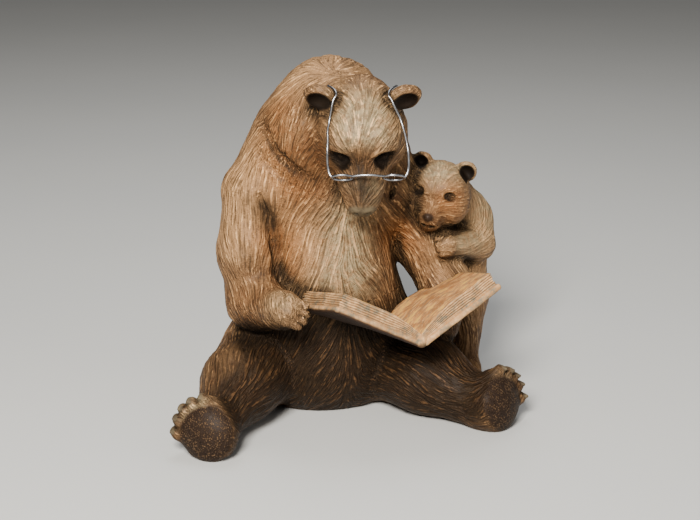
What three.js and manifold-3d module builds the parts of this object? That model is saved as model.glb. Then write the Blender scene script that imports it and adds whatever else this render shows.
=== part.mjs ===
// A statuette of a seated bear reading an open book to her cub, cast in one piece, and a
// separate pair of bent-wire spectacles that rests on her muzzle and hooks behind her ears.
// Millimetres. +Z is up, the bear faces -Y, and +X is to her left, where the cub stands.
// The origin is on the table, under the middle of the statuette's footprint.

import * as THREE from "three";
import { mergeVertices } from "three/addons/utils/BufferGeometryUtils.js";
import Module from "manifold-3d";

// Driving sizes, in millimetres.
const HEIGHT = 300; // from the table to the top of the bear's shoulders
const WIRE_DIAMETER = 1.8; // spectacle wire
const WIRE_SIDES = 8; // flats round the wire
const LENS_WIDTH = 17; // each rim, across the face
const LENS_HEIGHT = 11; // each rim, square to the muzzle
const BRIDGE_WIDTH = 23; // between the two rims' inner ends
const TEMPLE_SPREAD = 63; // between the two temples where they turn back
const BRIDGE_RISE = 2.4; // how far the bridge arches over the rims' tops
const ASKEW = 4.5; // the spectacles sit this far to her left of the muzzle's middle
const RESTING_GAP = 0.6; // between the wire and the casting it rests on

// How finely the casting's skin is drawn.
const SKIN_STEP = 3.2; // grid step
const SKIN_FACES = 6800; // triangles kept

// The figures' proportions are in hundredths of the height.
const UNIT = HEIGHT / 100;
const SLIVER = 0.03; // triangles thinner than this are closed up
const SIDES = [-1, 1]; // her right, her left

// The open book, in hundredths of the height; the pairs are her right half and her left half.
const BOOK = {
  place: [16.7, -45.3, 29.8], // front end of the spine
  yaw: 7,
  pitch: -9,
  halfWidth: 27,
  spineLength: 30,
  liftFront: [28, 29.5],
  liftBack: [20, 20],
  coverThickness: 1.8,
  coverEdge: 0.9, // the covers stand out past the pages
  gutter: 0.8, // page thickness at the spine
  pages: 3.8, // and at its fullest
  steps: 6, // along and across each half
};

const wasm = await Module();
wasm.setup();

// A form is a function of a point that gives the distance to its skin, negative inside.

const radians = THREE.MathUtils.degToRad;

// The frame at a place, turned by pitch (nose down), then yaw (to her left), in degrees.
function frameAt(place, { pitch = 0, yaw = 0, roll = 0, size = 1 } = {}) {
  const turn = new THREE.Euler(radians(pitch), radians(roll), radians(yaw), "ZXY");
  return new THREE.Matrix4().compose(
    new THREE.Vector3(...place),
    new THREE.Quaternion().setFromEuler(turn),
    new THREE.Vector3(size, size, size),
  );
}

// A form carried into a frame.
function placed(frame, form) {
  const m = frame.clone().invert().elements;
  const size = frame.getMaxScaleOnAxis();
  return (x, y, z) =>
    size *
    form(
      m[0] * x + m[4] * y + m[8] * z + m[12],
      m[1] * x + m[5] * y + m[9] * z + m[13],
      m[2] * x + m[6] * y + m[10] * z + m[14],
    );
}

// An egg: an ellipsoid about its centre.
function egg([cx, cy, cz], [rx, ry, rz]) {
  return (x, y, z) => {
    const px = (x - cx) / rx;
    const py = (y - cy) / ry;
    const pz = (z - cz) / rz;
    const reach = Math.sqrt(px * px + py * py + pz * pz);
    const slope = Math.sqrt((px / rx) ** 2 + (py / ry) ** 2 + (pz / rz) ** 2);
    return slope > 1e-6 ? (reach * (reach - 1)) / slope : -Math.min(rx, ry, rz);
  };
}

// An egg turned about its centre.
function turnedEgg(centre, radii, turn) {
  return placed(frameAt(centre, turn), egg([0, 0, 0], radii));
}

// A limb: a round bar from a to b whose radius runs from ra to rb.
function limb([ax, ay, az], [bx, by, bz], ra, rb = ra) {
  const [lx, ly, lz] = [bx - ax, by - ay, bz - az];
  const length2 = lx * lx + ly * ly + lz * lz;
  return (x, y, z) => {
    const [px, py, pz] = [x - ax, y - ay, z - az];
    const t = Math.min(1, Math.max(0, (px * lx + py * ly + pz * lz) / length2));
    const [dx, dy, dz] = [px - lx * t, py - ly * t, pz - lz * t];
    return Math.sqrt(dx * dx + dy * dy + dz * dz) - (ra + (rb - ra) * t);
  };
}

// Forms joined with a soft seam of width k.
function blend(k, ...forms) {
  return (x, y, z) => {
    let d = forms[0](x, y, z);
    for (let i = 1; i < forms.length; i++) {
      const e = forms[i](x, y, z);
      const h = Math.max(k - Math.abs(d - e), 0);
      d = Math.min(d, e) - (h * h) / (4 * k);
    }
    return d;
  };
}

// A form with others cut out of it, with a soft edge of width k.
function carve(k, form, ...cuts) {
  return (x, y, z) => {
    let d = form(x, y, z);
    for (const cut of cuts) {
      const e = -cut(x, y, z);
      const h = Math.max(k - Math.abs(d - e), 0);
      d = Math.max(d, e) + (h * h) / (4 * k);
    }
    return d;
  };
}

// A form that is only worked out near its ball, to save time.
function within([cx, cy, cz], radius, form) {
  const margin = 12;
  return (x, y, z) => {
    const away = Math.sqrt((x - cx) ** 2 + (y - cy) ** 2 + (z - cz) ** 2) - radius;
    return away > margin ? away : form(x, y, z);
  };
}

// The same form on both sides of the middle plane.
const mirrored = (form) => (x, y, z) => form(Math.abs(x), y, z);

// A bear's head in its own frame: the skull is at the origin and the nose points to -Y. The
// ears are pitched up or down by earPitch, and the muzzle and eyes are thinned by slim.
function bearHead({ muzzle, droop = 0, brow, slim = 1, earOut, earUp, earSize, earPitch = 0 }) {
  const noseY = -11 - muzzle;
  const skull = blend(
    4,
    egg([0, 0, 0], [10.4, 12, 10]),
    egg([0, -5, 3], [8.2, 7.5, 6.6]),
    mirrored(egg([6, -4, -3.6], [6.2, 8.5, 7.6])),
    limb([0, -8, -1.6], [0, noseY + 8, -3 - droop / 2], 6.8, 5.5 * slim),
    limb([0, noseY + 8, -3 - droop / 2], [0, noseY + 2.5, -3.7 - droop], 5.5 * slim, 4.6 * slim),
    limb([0, -8, -8], [0, noseY + 5.5, -7.6 - droop], 4.6, 3.2),
    mirrored(turnedEgg([4.6, -8.6, 4.9], [4.3, 3, brow + 0.5], { yaw: 18 })),
  );
  const sockets = mirrored(egg([5.9, -12, 3.2], [2.6 * slim, 2.3 * slim, 2.1 * slim]));
  const eyes = mirrored(egg([5.2, -11, 2], [1.5, 1.5, 1.5]));
  const nose = egg([0, noseY, -2.9 - droop], [3.7 * slim, 2, 2.4]);
  const lip = -6.6 - droop;
  const mouth = mirrored(limb([0, noseY - 1.5, lip], [4.6, noseY + 7, lip + droop / 2], 0.5, 0.5));
  const nostrils = mirrored(egg([1.6, noseY - 1.9, -3.1 - droop], [0.7, 1, 0.8]));
  const ear = placed(
    frameAt([earOut, 3, earUp], { pitch: earPitch, roll: 35, yaw: 12 }),
    carve(
      0.8,
      egg([0, 0, 0], [earSize, 2.3, earSize]),
      egg([0, -2.6, 0.2], [earSize * 0.7, 2.4, earSize * 0.7]),
    ),
  );
  const face = carve(0.9, carve(2, skull, sockets), mouth);
  return blend(1.6, carve(0.5, blend(1.2, face, nose), nostrils), eyes, mirrored(ear));
}

// A foot in its own frame: the ankle is at the origin, the sole faces -Y and the toes are up.
function foot() {
  const toes = [-2, -1, 0, 1, 2].map((i) =>
    limb([i * 2.9, 0.8, 5.2 - i * i * 0.4], [i * 3.1, -1.4, 7.8 - i * i * 0.6], 2, 1.7),
  );
  const claws = [-2, -1, 0, 1, 2].map((i) =>
    limb([i * 3.1, -1.2, 9.2 - i * i * 0.6], [i * 3.1, -3.6, 8.8 - i * i * 0.6], 0.9, 0.45),
  );
  const pad = egg([0, -0.8, -0.8], [7.4, 3.2, 7.4]);
  const heel = egg([0, 1.6, -1.5], [6.8, 5.6, 7]);
  return blend(1, blend(2.5, heel, pad, egg([0, 0.8, 3], [7.4, 3.8, 5])), ...toes, ...claws);
}

// The trunk sits on the table and rises to a humped back.
function torso() {
  const shoulder = mirrored(limb([9, -3, 75], [17.8, -4, 62], 11.2, 10.4));
  return blend(
    9,
    egg([1, -1, 17], [27, 21.5, 22]),
    egg([-0.5, -2, 36], [21.6, 20.5, 24]),
    egg([0, -1, 60], [21, 19, 21]),
    egg([2.2, -3, 76.8], [18.4, 19, 23.3]),
    shoulder,
  );
}

const HEAD = { place: [5.2, -25, 87], pitch: 55, yaw: -15 };
const headFrame = frameAt(HEAD.place, HEAD);

// The head hangs over the book, with a ruff where the neck leaves the shoulders.
function neckAndHead() {
  const head = bearHead({ muzzle: 13.2, brow: 2.4, earOut: 11.2, earUp: 7.6, earSize: 4.4, earPitch: -12 });
  return blend(
    3,
    limb([1, -8, 82], [4.5, -20, 86], 15, 10.5),
    turnedEgg([0.5, -15.5, 80], [16.5, 11, 12], { yaw: -12, roll: 20 }),
    placed(headFrame, head),
  );
}

// Her legs lie splayed on the table, with the soles forward and the toes turned out.
const LEGS = [
  { hip: [-16, -3, 14.6], knee: [-28, -18.5, 12.2], ankle: [-38.5, -34.5, 7], calf: 10.4, shin: 5.8 },
  { hip: [14, -2, 13.6], knee: [25, -21.5, 11.2], ankle: [36.8, -34.5, 6], calf: 10.8, shin: 7 },
];

function legs() {
  return blend(
    1,
    ...LEGS.map(({ hip, knee, ankle, calf, shin }, i) => {
      const side = SIDES[i];
      const sole = frameAt([side * 41, -38, 7.6], { yaw: side * 36, pitch: -14, roll: side * 54 });
      return blend(4, limb(hip, knee, 14.5, calf), limb(knee, ankle, calf, shin), placed(sole, foot()));
    }),
  );
}

function arms() {
  const right = blend(
    5,
    limb([-18.8, -4, 63], [-21.6, -7, 47], 10.4, 8.8),
    limb([-21.6, -7, 47], [-21.4, -12, 34], 8.8, 7.6),
    limb([-21.4, -12, 34], [-18.4, -26, 35.5], 7.6, 5.2),
    egg([-17.4, -31, 37], [4.2, 5.2, 3.8]),
  );
  const left = blend(
    5,
    limb([18.6, -4, 62], [28.2, -7, 46], 10.2, 7.6),
    limb([28.2, -7, 46], [33.8, -12, 33.5], 7.6, 6.8),
    limb([33.8, -12, 33.5], [30.5, -19, 24.5], 6.6, 5),
  );
  return blend(2, right, left);
}

// The cub stands behind her left thigh and leans over her arm towards the book.
function cub() {
  const head = placed(
    frameAt([32.4, -9, 62], { pitch: 8, yaw: -29, roll: 10, size: 0.77 }),
    bearHead({ muzzle: 6.8, droop: 1.2, brow: 1.6, slim: 0.82, earOut: 8.2, earUp: 7.6, earSize: 4 }),
  );
  const nearArm = blend(
    2,
    limb([44.6, 0, 50], [45.8, -4.5, 43.5], 6.4, 4.9),
    limb([45.8, -4.5, 43.5], [32.5, -15, 47], 4.7, 3.8),
  );
  return blend(
    2.5,
    blend(
      4,
      limb([43.6, 4, 26], [42.6, 2, 47], 7.6, 8),
      limb([42, 0.5, 51], [35, -5, 59], 8.2, 7.6),
      limb([44.6, 4, 24], [45.2, 3.4, 5], 6.8, 3.9),
      limb([40, 9, 24], [39, 11, 4], 6.8, 4.1),
      egg([45.2, 1.4, 2], [4, 6, 3]),
      egg([39, 9, 2], [4, 6, 3]),
      limb([37, 7, 51], [23, 13, 55], 5.6, 4.6),
    ),
    nearArm,
    head,
  );
}

const figure = blend(
  1.6,
  torso(),
  legs(),
  arms(),
  within([2, -24, 82], 36, neckAndHead()),
  within([40, -4, 32], 46, cub()),
);

// Skin and mesh.

// The grid lines along one axis.
function gridLines(from, to, step) {
  const count = Math.ceil((to - from) / step) + 1;
  return Float64Array.from({ length: count }, (_, i) => from + i * step);
}

// The twelve edges of a grid cell, as pairs of its eight corners (x + 2y + 4z), axis by axis.
const CELL_EDGES = [0, 1, 2].flatMap((axis) =>
  [0, 1, 2, 3].map((n) => {
    const [p, q] = [n & 1, n >> 1];
    const from = axis === 0 ? 2 * p + 4 * q : axis === 1 ? p + 4 * q : p + 2 * q;
    return [from, from + (1 << axis)];
  }),
);

// For each pattern of inside corners, which sheet of skin in the cell each crossed edge is on.
const SHEETS = Array.from({ length: 256 }, (_, pattern) => {
  const inside = (corner) => (pattern >> corner) & 1;
  const sheet = CELL_EDGES.map(([a, b], e) => (inside(a) !== inside(b) ? e : -1));
  const join = (a, b) => {
    const [kept, dropped] = [Math.min(sheet[a], sheet[b]), Math.max(sheet[a], sheet[b])];
    for (let e = 0; e < 12; e++) if (sheet[e] === dropped) sheet[e] = kept;
  };
  for (const bit of [1, 2, 4])
    for (const side of [0, bit]) {
      const onFace = (corner) => (corner & bit) === side;
      const crossed = CELL_EDGES.flatMap(([a, b], e) => (onFace(a) && onFace(b) && sheet[e] >= 0 ? [e] : []));
      if (crossed.length === 2) join(crossed[0], crossed[1]);
      if (crossed.length < 4) continue;
      for (let corner = 0; corner < 8; corner++)
        if (onFace(corner) && inside(corner)) join(...crossed.filter((e) => CELL_EDGES[e].includes(corner)));
    }
  const names = [...new Set(sheet.filter((name) => name >= 0))];
  return { count: names.length, of: sheet.map((name) => names.indexOf(name)) };
});

// Draws a form's skin as a closed mesh. Each sheet of skin in a grid cell gets one corner, at
// the mean of its crossings on the cell's edges, and each crossed grid edge gets a quad.
function skinOf(form, box, step) {
  const xs = gridLines(box.min.x, box.max.x, step);
  const ys = gridLines(box.min.y, box.max.y, step);
  const zs = gridLines(box.min.z, box.max.z, step);
  const [nx, ny, nz] = [xs.length, ys.length, zs.length];
  const at = (i, j, k) => (k * ny + j) * nx + i;
  const value = new Float64Array(nx * ny * nz);
  const stride = 4;
  for (let k = 0; k < nz; k += stride)
    for (let j = 0; j < ny; j += stride)
      for (let i = 0; i < nx; i += stride) {
        const half = ((stride - 1) * step) / 2;
        const far = form(xs[i] + half, ys[j] + half, zs[k] + half);
        const skip = Math.abs(far) > step * stride * 1.6;
        for (let c = k; c < Math.min(k + stride, nz); c++)
          for (let b = j; b < Math.min(j + stride, ny); b++)
            for (let a = i; a < Math.min(i + stride, nx); a++)
              value[at(a, b, c)] = skip ? far : form(xs[a], ys[b], zs[c]);
      }
  const offsets = Array.from({ length: 8 }, (_, c) => at(c & 1, (c >> 1) & 1, c >> 2));
  const first = new Int32Array(nx * ny * nz).fill(-1);
  const patterns = new Uint8Array(nx * ny * nz);
  const places = [];
  for (let k = 0; k < nz - 1; k++)
    for (let j = 0; j < ny - 1; j++)
      for (let i = 0; i < nx - 1; i++) {
        const cell = at(i, j, k);
        let pattern = 0;
        for (let c = 0; c < 8; c++) if (value[cell + offsets[c]] < 0) pattern |= 1 << c;
        const sheets = SHEETS[pattern];
        if (!sheets.count) continue;
        first[cell] = places.length / 3;
        patterns[cell] = pattern;
        for (let sheet = 0; sheet < sheets.count; sheet++) {
          const sum = [0, 0, 0];
          let n = 0;
          for (let e = 0; e < 12; e++) {
            if (sheets.of[e] !== sheet) continue;
            const [a, b] = CELL_EDGES[e];
            const t = value[cell + offsets[a]] / (value[cell + offsets[a]] - value[cell + offsets[b]]);
            for (let axis = 0; axis < 3; axis++) sum[axis] += ((a >> axis) & 1) + (e >> 2 === axis ? t : 0);
            n++;
          }
          const [x, y, z] = sum.map((total) => (total / n) * step);
          places.push(xs[i] + x, ys[j] + y, zs[k] + z);
        }
      }
  const faces = [];
  const quad = (a, b, c, d, flip) =>
    flip ? faces.push(a, c, b, a, d, c) : faces.push(a, b, c, a, c, d);
  for (let k = 1; k < nz - 1; k++)
    for (let j = 1; j < ny - 1; j++)
      for (let i = 1; i < nx - 1; i++) {
        const inside = value[at(i, j, k)] < 0;
        const corner = (a, b, c, edge) => {
          const cell = at(i - a, j - b, k - c);
          return first[cell] + SHEETS[patterns[cell]].of[edge];
        };
        if (inside !== value[at(i + 1, j, k)] < 0)
          quad(corner(0, 1, 1, 3), corner(0, 0, 1, 2), corner(0, 0, 0, 0), corner(0, 1, 0, 1), !inside);
        if (inside !== value[at(i, j + 1, k)] < 0)
          quad(corner(1, 0, 1, 7), corner(0, 0, 1, 6), corner(0, 0, 0, 4), corner(1, 0, 0, 5), inside);
        if (inside !== value[at(i, j, k + 1)] < 0)
          quad(corner(1, 1, 0, 11), corner(0, 1, 0, 10), corner(0, 0, 0, 8), corner(1, 0, 0, 9), !inside);
      }
  return { places: Float64Array.from(places), faces: Int32Array.from(faces) };
}

// Thins out a closed mesh to a number of triangles, taking first the edges whose loss moves the
// skin least, and never one whose loss would fold or pinch it.
function thinned({ places, faces }, wanted) {
  const count = places.length / 3;
  const xyz = Float64Array.from(places);
  const tri = Int32Array.from(faces);
  const alive = new Uint8Array(tri.length / 3).fill(1);
  const around = Array.from({ length: count }, () => []);
  const quadric = new Float64Array(count * 10);
  const version = new Int32Array(count);
  const normal = (f, moved = -1, place = null) => {
    const [a, b, c] = [tri[3 * f], tri[3 * f + 1], tri[3 * f + 2]];
    const at = (v, i) => (v === moved ? place[i] : xyz[3 * v + i]);
    const [ux, uy, uz] = [at(b, 0) - at(a, 0), at(b, 1) - at(a, 1), at(b, 2) - at(a, 2)];
    const [vx, vy, vz] = [at(c, 0) - at(a, 0), at(c, 1) - at(a, 1), at(c, 2) - at(a, 2)];
    return [uy * vz - uz * vy, uz * vx - ux * vz, ux * vy - uy * vx];
  };
  for (let f = 0; f < alive.length; f++) {
    const [nx, ny, nz] = normal(f);
    const twice = Math.hypot(nx, ny, nz);
    if (!twice) continue;
    const [a, b, c] = [nx / twice, ny / twice, nz / twice];
    const v = tri[3 * f];
    const d = -(a * xyz[3 * v] + b * xyz[3 * v + 1] + c * xyz[3 * v + 2]);
    const plane = [a * a, a * b, a * c, a * d, b * b, b * c, b * d, c * c, c * d, d * d];
    for (let k = 0; k < 3; k++) {
      around[tri[3 * f + k]].push(f);
      for (let i = 0; i < 10; i++) quadric[10 * tri[3 * f + k] + i] += plane[i] * twice;
    }
  }
  const costAt = (q, [x, y, z]) =>
    x * (q[0] * x + 2 * (q[1] * y + q[2] * z + q[3])) +
    y * (q[4] * y + 2 * (q[5] * z + q[6])) +
    z * (q[7] * z + 2 * q[8]) +
    q[9];
  const best = (a, b) => {
    const q = new Float64Array(10);
    for (let i = 0; i < 10; i++) q[i] = quadric[10 * a + i] + quadric[10 * b + i];
    const middle = [0, 1, 2].map((i) => (xyz[3 * a + i] + xyz[3 * b + i]) / 2);
    const weak = 1e-3 * (q[0] + q[4] + q[7]);
    const [m0, m4, m7] = [q[0] + weak, q[4] + weak, q[7] + weak];
    const [r0, r1, r2] = [
      weak * middle[0] - q[3],
      weak * middle[1] - q[6],
      weak * middle[2] - q[8],
    ];
    const [c0, c1, c2] = [m4 * m7 - q[5] ** 2, q[2] * q[5] - q[1] * m7, q[1] * q[5] - q[2] * m4];
    const det = m0 * c0 + q[1] * c1 + q[2] * c2;
    const place = [
      (c0 * r0 + c1 * r1 + c2 * r2) / det,
      (c1 * r0 + (m0 * m7 - q[2] ** 2) * r1 + (q[1] * q[2] - m0 * q[5]) * r2) / det,
      (c2 * r0 + (q[1] * q[2] - m0 * q[5]) * r1 + (m0 * m4 - q[1] ** 2) * r2) / det,
    ];
    const span = Math.hypot(...[0, 1, 2].map((i) => xyz[3 * a + i] - xyz[3 * b + i]));
    const away = Math.hypot(...[0, 1, 2].map((i) => place[i] - middle[i]));
    const kept = det > 0 && away < 2 * span ? place : middle;
    return { place: kept, cost: Math.max(0, costAt(q, kept)) + 1e-4 * span ** 2 * weak };
  };
  const heap = [];
  const push = (entry) => {
    let i = heap.push(entry) - 1;
    while (i > 0 && heap[(i - 1) >> 1].cost > entry.cost) {
      heap[i] = heap[(i - 1) >> 1];
      i = (i - 1) >> 1;
    }
    heap[i] = entry;
  };
  const pop = () => {
    const top = heap[0];
    const last = heap.pop();
    if (!heap.length) return top;
    let i = 0;
    while (2 * i + 1 < heap.length) {
      let child = 2 * i + 1;
      if (child + 1 < heap.length && heap[child + 1].cost < heap[child].cost) child++;
      if (heap[child].cost >= last.cost) break;
      heap[i] = heap[child];
      i = child;
    }
    heap[i] = last;
    return top;
  };
  const neighbours = (v) => {
    const found = new Set();
    for (const f of around[v]) for (let k = 0; k < 3; k++) found.add(tri[3 * f + k]);
    found.delete(v);
    return found;
  };
  const offer = (a, b) => push({ ...best(a, b), a, b, va: version[a], vb: version[b] });
  for (let v = 0; v < count; v++) for (const w of neighbours(v)) if (v < w) offer(v, w);
  let left = alive.length;
  while (left > wanted && heap.length) {
    const { a, b, va, vb, place } = pop();
    if (version[a] !== va || version[b] !== vb) continue;
    const nearA = neighbours(a);
    const shared = [...neighbours(b)].filter((v) => nearA.has(v));
    if (shared.length !== 2) continue;
    const holds = (f, v) => tri[3 * f] === v || tri[3 * f + 1] === v || tri[3 * f + 2] === v;
    const folds = (v, other) =>
      around[v].some((f) => {
        if (holds(f, other)) return false;
        const [before, after] = [normal(f), normal(f, v, place)];
        const dot = before[0] * after[0] + before[1] * after[1] + before[2] * after[2];
        return dot <= 0.25 * Math.hypot(...before) * Math.hypot(...after);
      });
    if (folds(a, b) || folds(b, a)) continue;
    for (const f of around[b]) {
      if (holds(f, a)) {
        alive[f] = 0;
        left--;
        for (const v of shared) if (holds(f, v)) around[v] = around[v].filter((g) => g !== f);
      } else {
        for (let k = 0; k < 3; k++) if (tri[3 * f + k] === b) tri[3 * f + k] = a;
        around[a].push(f);
      }
    }
    around[a] = around[a].filter((f) => alive[f]);
    around[b] = [];
    version[a]++;
    version[b]++;
    for (let i = 0; i < 3; i++) xyz[3 * a + i] = place[i];
    for (let i = 0; i < 10; i++) quadric[10 * a + i] += quadric[10 * b + i];
    for (const v of neighbours(a)) offer(a, v);
  }
  const renumbered = new Int32Array(count).fill(-1);
  const [keptPlaces, keptFaces] = [[], []];
  for (let f = 0; f < alive.length; f++) {
    if (!alive[f]) continue;
    for (let k = 0; k < 3; k++) {
      const v = tri[3 * f + k];
      if (renumbered[v] < 0) {
        renumbered[v] = keptPlaces.length / 3;
        keptPlaces.push(xyz[3 * v], xyz[3 * v + 1], xyz[3 * v + 2]);
      }
      keptFaces.push(renumbered[v]);
    }
  }
  return { places: keptPlaces, faces: keptFaces };
}

function geometryOf({ places, faces }) {
  return new THREE.BufferGeometry()
    .setAttribute("position", new THREE.Float32BufferAttribute(Float32Array.from(places), 3))
    .setIndex(Array.from(faces));
}

// A solid for joining and cutting, from a closed geometry.
function solidOf(geometry) {
  const bare = geometry.clone();
  for (const name of ["normal", "uv"]) bare.deleteAttribute(name);
  const welded = mergeVertices(bare, 1e-4);
  return new wasm.Manifold(
    new wasm.Mesh({
      numProp: 3,
      vertProperties: Float32Array.from(welded.getAttribute("position").array),
      triVerts: Uint32Array.from(welded.index.array),
    }),
  );
}

// The outer body of a solid, without the specks that a thin cut can leave inside it.
function outermost(solid) {
  return solid.decompose().reduce((best, body) => (body.volume() > best.volume() ? body : best));
}

// The same geometry with every triangle turned over.
function flipped(geometry) {
  const bare = geometry.index ? geometry.toNonIndexed() : geometry.clone();
  const place = bare.getAttribute("position").array;
  for (let i = 0; i < place.length; i += 9)
    for (let k = 0; k < 3; k++) [place[i + 3 + k], place[i + 6 + k]] = [place[i + 6 + k], place[i + 3 + k]];
  return bare;
}

function geometryFrom(solid) {
  const mesh = solid.getMesh();
  return geometryOf({ places: mesh.vertProperties, faces: mesh.triVerts });
}

// The book, opened by a lift that eases off towards the back. In its own frame the spine runs
// along +Y from the front end, the pages face up, and each half is a cover under a page block.
function openBook() {
  const { halfWidth, spineLength, coverThickness, coverEdge, gutter, pages, steps } = BOOK;
  const blockWidth = halfWidth - coverEdge;
  const stations = Array.from({ length: steps + 1 }, (_, i) => i / steps);
  const fullness = (s) => gutter + (pages - gutter) * Math.sin(Math.min(1, 1.7 * s + 0.1) * (Math.PI / 2));
  const slab = (width, low, high, from, to, side) => {
    const under = stations.map((s) => new THREE.Vector2(s * width, low));
    const over = stations.map((s) => new THREE.Vector2(s * width, high(s))).reverse();
    const shape = new THREE.Shape([...under, ...over]);
    const geometry = new THREE.ExtrudeGeometry(shape, { depth: to - from, steps, bevelEnabled: false });
    const place = geometry.getAttribute("position");
    for (let i = 0; i < place.count; i++) {
      const [out, up, along] = [place.getX(i), place.getY(i), from + place.getZ(i)];
      const [front, back] = [BOOK.liftFront[side], BOOK.liftBack[side]];
      const lift = radians(THREE.MathUtils.lerp(front, back, along / spineLength));
      const x = out * Math.cos(lift) - up * Math.sin(lift);
      place.setXYZ(i, SIDES[side] * x, along, out * Math.sin(lift) + up * Math.cos(lift));
    }
    const turned = side === 0 ? geometry : flipped(geometry);
    return solidOf(turned.applyMatrix4(frameAt(BOOK.place, BOOK)));
  };
  const spine = new THREE.CylinderGeometry(coverThickness, coverThickness, spineLength, 12)
    .translate(0, spineLength / 2, 0)
    .applyMatrix4(frameAt(BOOK.place, BOOK));
  const parts = [0, 1].flatMap((side) => [
    slab(halfWidth, -coverThickness, () => 0, 0, spineLength, side),
    slab(blockWidth, -coverThickness / 2, fullness, coverEdge, spineLength - coverEdge, side),
  ]);
  return parts.reduce((whole, part) => whole.add(part), solidOf(spine));
}

// The distance from a place in the head's frame to the casting, in hundredths of the height.
function clearanceAt(place) {
  const p = place.clone().applyMatrix4(headFrame);
  return figure(p.x, p.y, p.z);
}

// Moves a place in the head's frame away from the casting until it is as clear as wanted.
function cleared(place, wanted) {
  const reach = 0.05;
  const axes = [new THREE.Vector3(1, 0, 0), new THREE.Vector3(0, 1, 0), new THREE.Vector3(0, 0, 1)];
  const moved = place.clone();
  for (let turn = 0; turn < 12; turn++) {
    const short = wanted - clearanceAt(moved);
    if (short <= 0) break;
    const away = new THREE.Vector3(
      ...axes.map((axis) => {
        const [ahead, behind] = [reach, -reach].map((d) => moved.clone().addScaledVector(axis, d));
        return clearanceAt(ahead) - clearanceAt(behind);
      }),
    );
    moved.addScaledVector(away.normalize(), short * 1.02 + 1e-3);
  }
  return moved;
}

// A wire along a curve.
function wireAlong(curve, steps) {
  const section = new THREE.Shape();
  section.absarc(0, 0, WIRE_DIAMETER / UNIT / 2, 0, 2 * Math.PI);
  return solidOf(
    new THREE.ExtrudeGeometry(section, {
      extrudePath: curve,
      steps,
      curveSegments: WIRE_SIDES / 2,
      bevelEnabled: false,
    }),
  );
}

// Spectacles bent from wire, in the head's frame: two oval rims and a bridge across the muzzle,
// and two temples that turn back past the eyes and hook behind the ears.
function spectacles() {
  const clear = (WIRE_DIAMETER / 2 + RESTING_GAP) / UNIT;
  const [rimX, rimZ] = [LENS_WIDTH / UNIT / 2, LENS_HEIGHT / UNIT / 2];
  const rimCentre = BRIDGE_WIDTH / UNIT / 2 + rimX;
  const across = -18.4;
  const aside = ASKEW / UNIT;
  const rimAt = (side, angle, top) =>
    new THREE.Vector3(
      aside + side * (rimCentre + rimX * Math.cos(angle)),
      across,
      top - rimZ + rimZ * Math.sin(angle),
    );
  const arch = (s, top) =>
    new THREE.Vector3(
      aside + s * (rimCentre - rimX * 0.85),
      across,
      top - rimZ * 0.45 + (BRIDGE_RISE / UNIT) * (1 - s * s),
    );
  const ring = Array.from({ length: 24 }, (_, i) => (i / 12) * Math.PI);
  const span = Array.from({ length: 9 }, (_, i) => i / 4 - 1);
  let top = 8;
  for (let turn = 0; turn < 60; turn++) {
    const places = [
      ...SIDES.flatMap((side) => ring.map((angle) => rimAt(side, angle, top))),
      ...span.map((s) => arch(s, top)),
    ];
    const spare = Math.min(...places.map(clearanceAt)) - clear;
    if (Math.abs(spare) < 1e-3) break;
    top -= spare * 0.7;
  }
  const overlap = 0.12;
  const rims = SIDES.flatMap((side) =>
    [0, Math.PI].map((start) => {
      const angles = Array.from({ length: 9 }, (_, i) => start - overlap + (i / 8) * (Math.PI + 2 * overlap));
      return wireAlong(new THREE.CatmullRomCurve3(angles.map((angle) => rimAt(side, angle, top))), 7);
    }),
  );
  const spread = TEMPLE_SPREAD / UNIT / 2;
  const temples = SIDES.map((side) => {
    const path = [
      [aside + side * (rimCentre + rimX * 0.96), across, top - rimZ],
      [aside + side * (spread - 0.5), across + 0.7, top - rimZ + 0.1],
      [aside + side * spread, across + 2.6, top - rimZ + 0.7],
      [aside * 0.9 + side * spread, -12, top - rimZ + 2.8],
      [aside * 0.5 + side * 9.4, -4, 7.4],
      [side * 8.1, 1.6, 9.2],
      [side * 7.9, 4.4, 8.8],
      [side * 9.2, 6.4, 7],
    ].map(([x, y, z], i) => {
      const place = new THREE.Vector3(x, y, z);
      return i < 2 ? place : cleared(place, clear);
    });
    const rough = new THREE.CatmullRomCurve3(path, false, "centripetal");
    const eased = rough.getSpacedPoints(22).map((place, i) => (i < 2 ? place : cleared(place, clear)));
    return wireAlong(new THREE.CatmullRomCurve3(eased, false, "centripetal"), 26);
  });
  const bridge = wireAlong(new THREE.CatmullRomCurve3(span.map((s) => arch(s, top))), 8);
  return [...rims, ...temples].reduce((whole, wire) => whole.add(wire), bridge);
}

const box = new THREE.Box3(new THREE.Vector3(-62, -62, -8), new THREE.Vector3(66, 38, 106));
const drawn = thinned(skinOf(figure, box, SKIN_STEP / UNIT), SKIN_FACES);
const table = new THREE.BoxGeometry(400, 400, 40).translate(0, 0, -20);
const joined = solidOf(geometryOf(drawn)).add(openBook()).subtract(solidOf(table));
const casting = outermost(joined.simplify(SLIVER / UNIT));
const glasses = spectacles();

const bronze = new THREE.MeshStandardMaterial({ color: 0x8a6a4e, roughness: 0.5, metalness: 0.2 });
const steel = new THREE.MeshStandardMaterial({ color: 0xb9bcc0, roughness: 0.25, metalness: 1 });

const bearMesh = new THREE.Mesh(geometryFrom(casting).scale(UNIT, UNIT, UNIT), bronze);
bearMesh.name = "bear_cub_and_book_casting";
const glassesMesh = new THREE.Mesh(
  geometryFrom(glasses).applyMatrix4(headFrame).scale(UNIT, UNIT, UNIT),
  steel,
);
glassesMesh.name = "spectacles";

// The footprint is centred on the origin.
bearMesh.geometry.computeBoundingBox();
const middle = bearMesh.geometry.boundingBox.getCenter(new THREE.Vector3());
for (const mesh of [bearMesh, glassesMesh]) mesh.geometry.translate(-middle.x, -middle.y, 0);

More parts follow.
